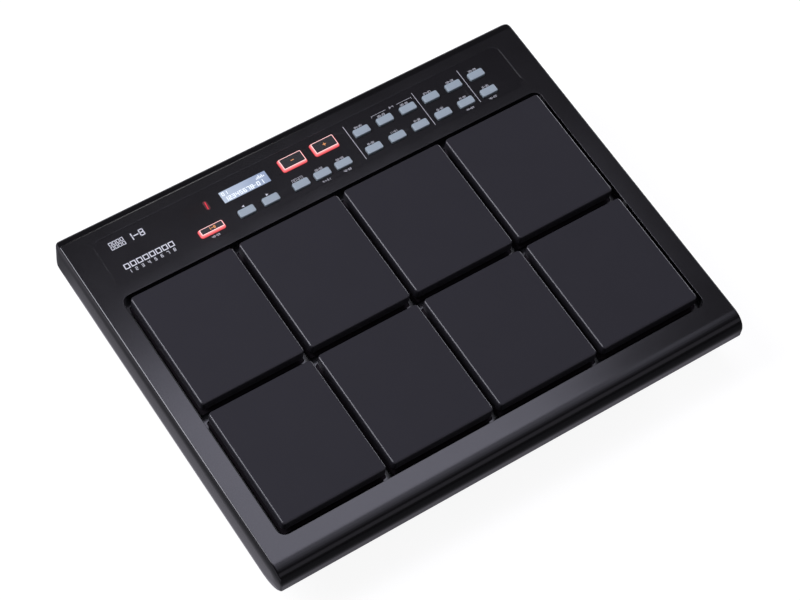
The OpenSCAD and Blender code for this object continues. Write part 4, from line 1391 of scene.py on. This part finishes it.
@dataclass
class Studio:
    """Floor, lamps and camera."""

    lamps: tuple[Lamp, ...] = (
        Lamp("key_panel", (0.243, 0.195, 1.6), (0.686, 0.57), 2.95, COOL),
        Lamp("key_core", (0.41, 0.37, 1.595), (0.3, 0.1), 1.3, COOL),
        Lamp("key_wing", (0.654, 0.195, 1.6), (0.136, 0.57), 2.8, COOL),
        Lamp("right_ceiling", (0.78, 0.36, 1.6), (0.18, 0.22), 0.95, COOL),
        Lamp("ceiling", (0.5, 0.41, 1.63), (1.5, 1.02), 0.1, (1.02, 0.95, 1.1)),
        Lamp("crease_panel", (0.42, 1.05, 1.6), (0.2, 0.22), 8.0),
        Lamp("front_panel", (0.53, -0.255, 1.59), (0.84, 0.34), 1.0, COOL, NOSE),
        Lamp("front_middle", (0.53, -0.61, 1.57), (0.84, 0.4), 0.62, COOL, NOSE),
        Lamp("front_low", (0.53, -1.0, 1.5), (0.84, 0.42), 0.22, COOL, NOSE),
        Lamp("front_wall", (0.6, -2.2, 1.06), (3.4, 0.9), 0.34, (0.97, 0.93, 1.1), (0.1, 0.0, 0.06)),
        Lamp("left_panel", (-0.95, 0.42, 1.1), (0.45, 1.2), 10.0, PALE, (-0.05, 0.02, 0.07)),
        Lamp("right_panel", (1.3, 0.5, 0.3), (0.9, 0.34), 7.0, PALE, (0.1, 0.0, 0.07)),
    )
    surround: float = 0.06
    # Painted reflection glow that the floor shows to glossy rays: its strength, its fade away from the
    # footprint, where it brightens again at the left, and its tint.
    mirrored: float = 0.42
    footprint: Flat = (0.187, 0.146)
    painted_glow_reach: Flat = (0.05, 0.006)
    painted_glow_left: Flat = (-0.235, -0.275)
    floor_reach: float = 30.0
    floor_colour: Colour = (0.16, 0.16, 0.16)
    mirrored_colour: Colour = (0.96, 0.92, 1.06)
    floor_glow: float = 0.92
    camera_spot: Spot = (-0.5932, -0.8982, 1.4438)
    camera_axes: tuple[Spot, Spot, Spot] = ((0.83405, -0.55166, 0.0), (0.43691, 0.66056, 0.61053),
                                            (-0.33682, -0.50921, 0.79199))
    lens: float = 116.0
    sensor: float = 36.0
    clip: Flat = (0.05, 200.0)

    def floor(self) -> None:
        """Lays a wide pale floor that shows white and keeps a soft shadow; glossy rays see a painted
        reflection glow on it, brighter near the footprint and towards the left.
        """
        reach = self.floor_reach
        corners = [(-reach, -reach, 0.0), (reach, -reach, 0.0), (reach, reach, 0.0), (-reach, reach, 0.0)]
        mesh = bpy.data.meshes.new("floor")
        mesh.from_pydata(corners, [], [(0, 1, 2, 3)])
        made = bpy.data.objects.new("floor", mesh)
        bpy.context.scene.collection.objects.link(made)
        material = bpy.data.materials.new("pale_floor")
        material.use_nodes = True
        paint = Paint(material.node_tree)
        glossy = paint.node("ShaderNodeLightPath", output="Is Glossy Ray")
        spot = paint.node("ShaderNodeNewGeometry", output="Position")
        away = paint.node("ShaderNodeVectorMath", {"operation": "ABSOLUTE"}, {0: spot})
        # Painted reflection: glossy rays see the floor glow brightest close to the footprint and again beyond
        # the left side, so that the cheeks and the nose pick up light in reflection.
        sides = [paint.along(axis, away) - half for axis, half in zip("XY", self.footprint)]
        near = paint.share(sides[0].larger(sides[1]), *self.painted_glow_reach)
        left = paint.share(paint.along("X", spot), *self.painted_glow_left)
        mirror = (near ** 2.0).larger(left) * self.mirrored
        seen = paint.node("ShaderNodeLightPath", output="Is Camera Ray").larger(glossy * mirror).larger(
            paint.node("ShaderNodeLightPath", output="Is Transmission Ray"))
        plain = paint.node("ShaderNodeBsdfDiffuse", inputs={"Color": self.floor_colour})
        light = paint.node("ShaderNodeEmission", inputs={
            "Color": paint.blend(glossy, (1.0, 1.0, 1.0), self.mirrored_colour), "Strength": self.floor_glow})
        white = paint.node("ShaderNodeAddShader", inputs={0: plain, 1: light})
        face = paint.node("ShaderNodeMixShader", inputs={0: seen, 1: plain, 2: white})
        below = paint.node("ShaderNodeNewGeometry", output="Backfacing")
        clear = paint.node("ShaderNodeBsdfTransparent")
        both = paint.node("ShaderNodeMixShader", inputs={0: below, 1: face, 2: clear})
        paint.node("ShaderNodeOutputMaterial", inputs={"Surface": both})
        mesh.materials.append(material)

    def build(self) -> None:
        """Builds the floor, the surround, the lamps and the camera."""
        scene = bpy.context.scene
        scene.view_settings.view_transform = "Standard"
        self.floor()
        world = bpy.data.worlds.new("surround")
        world.use_nodes = True
        scene.world = world
        paint = Paint(world.node_tree)
        glow = paint.node("ShaderNodeBackground", inputs={
            "Color": (1.0, 1.0, 1.0), "Strength": self.surround})
        paint.node("ShaderNodeOutputWorld", inputs={"Surface": glow})
        for lamp in self.lamps:
            lamp.build()
        data = bpy.data.cameras.new("camera")
        data.lens = self.lens
        data.sensor_width = self.sensor
        data.clip_start, data.clip_end = self.clip
        camera = bpy.data.objects.new("camera", data)
        scene.collection.objects.link(camera)
        axes = Matrix(self.camera_axes).transposed().to_4x4()
        camera.matrix_world = Matrix.Translation(self.camera_spot) @ axes
        scene.camera = camera


def main() -> None:
    """Builds the studio and the dressed part."""
    logging.basicConfig(level=logging.INFO, format="%(name)s: %(message)s")
    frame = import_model()
    deck = Deck(frame)
    Studio().build()
    for assembly in (CaseShell(deck), PadBank(deck), KeyBank(deck), ControlStrip(deck),
                     RearPanel(), KeptSolids(frame["nodes"])):
        assembly.build()
        LOG.info("%s is done", type(assembly).__name__)


if __name__ == "__main__":
    main()
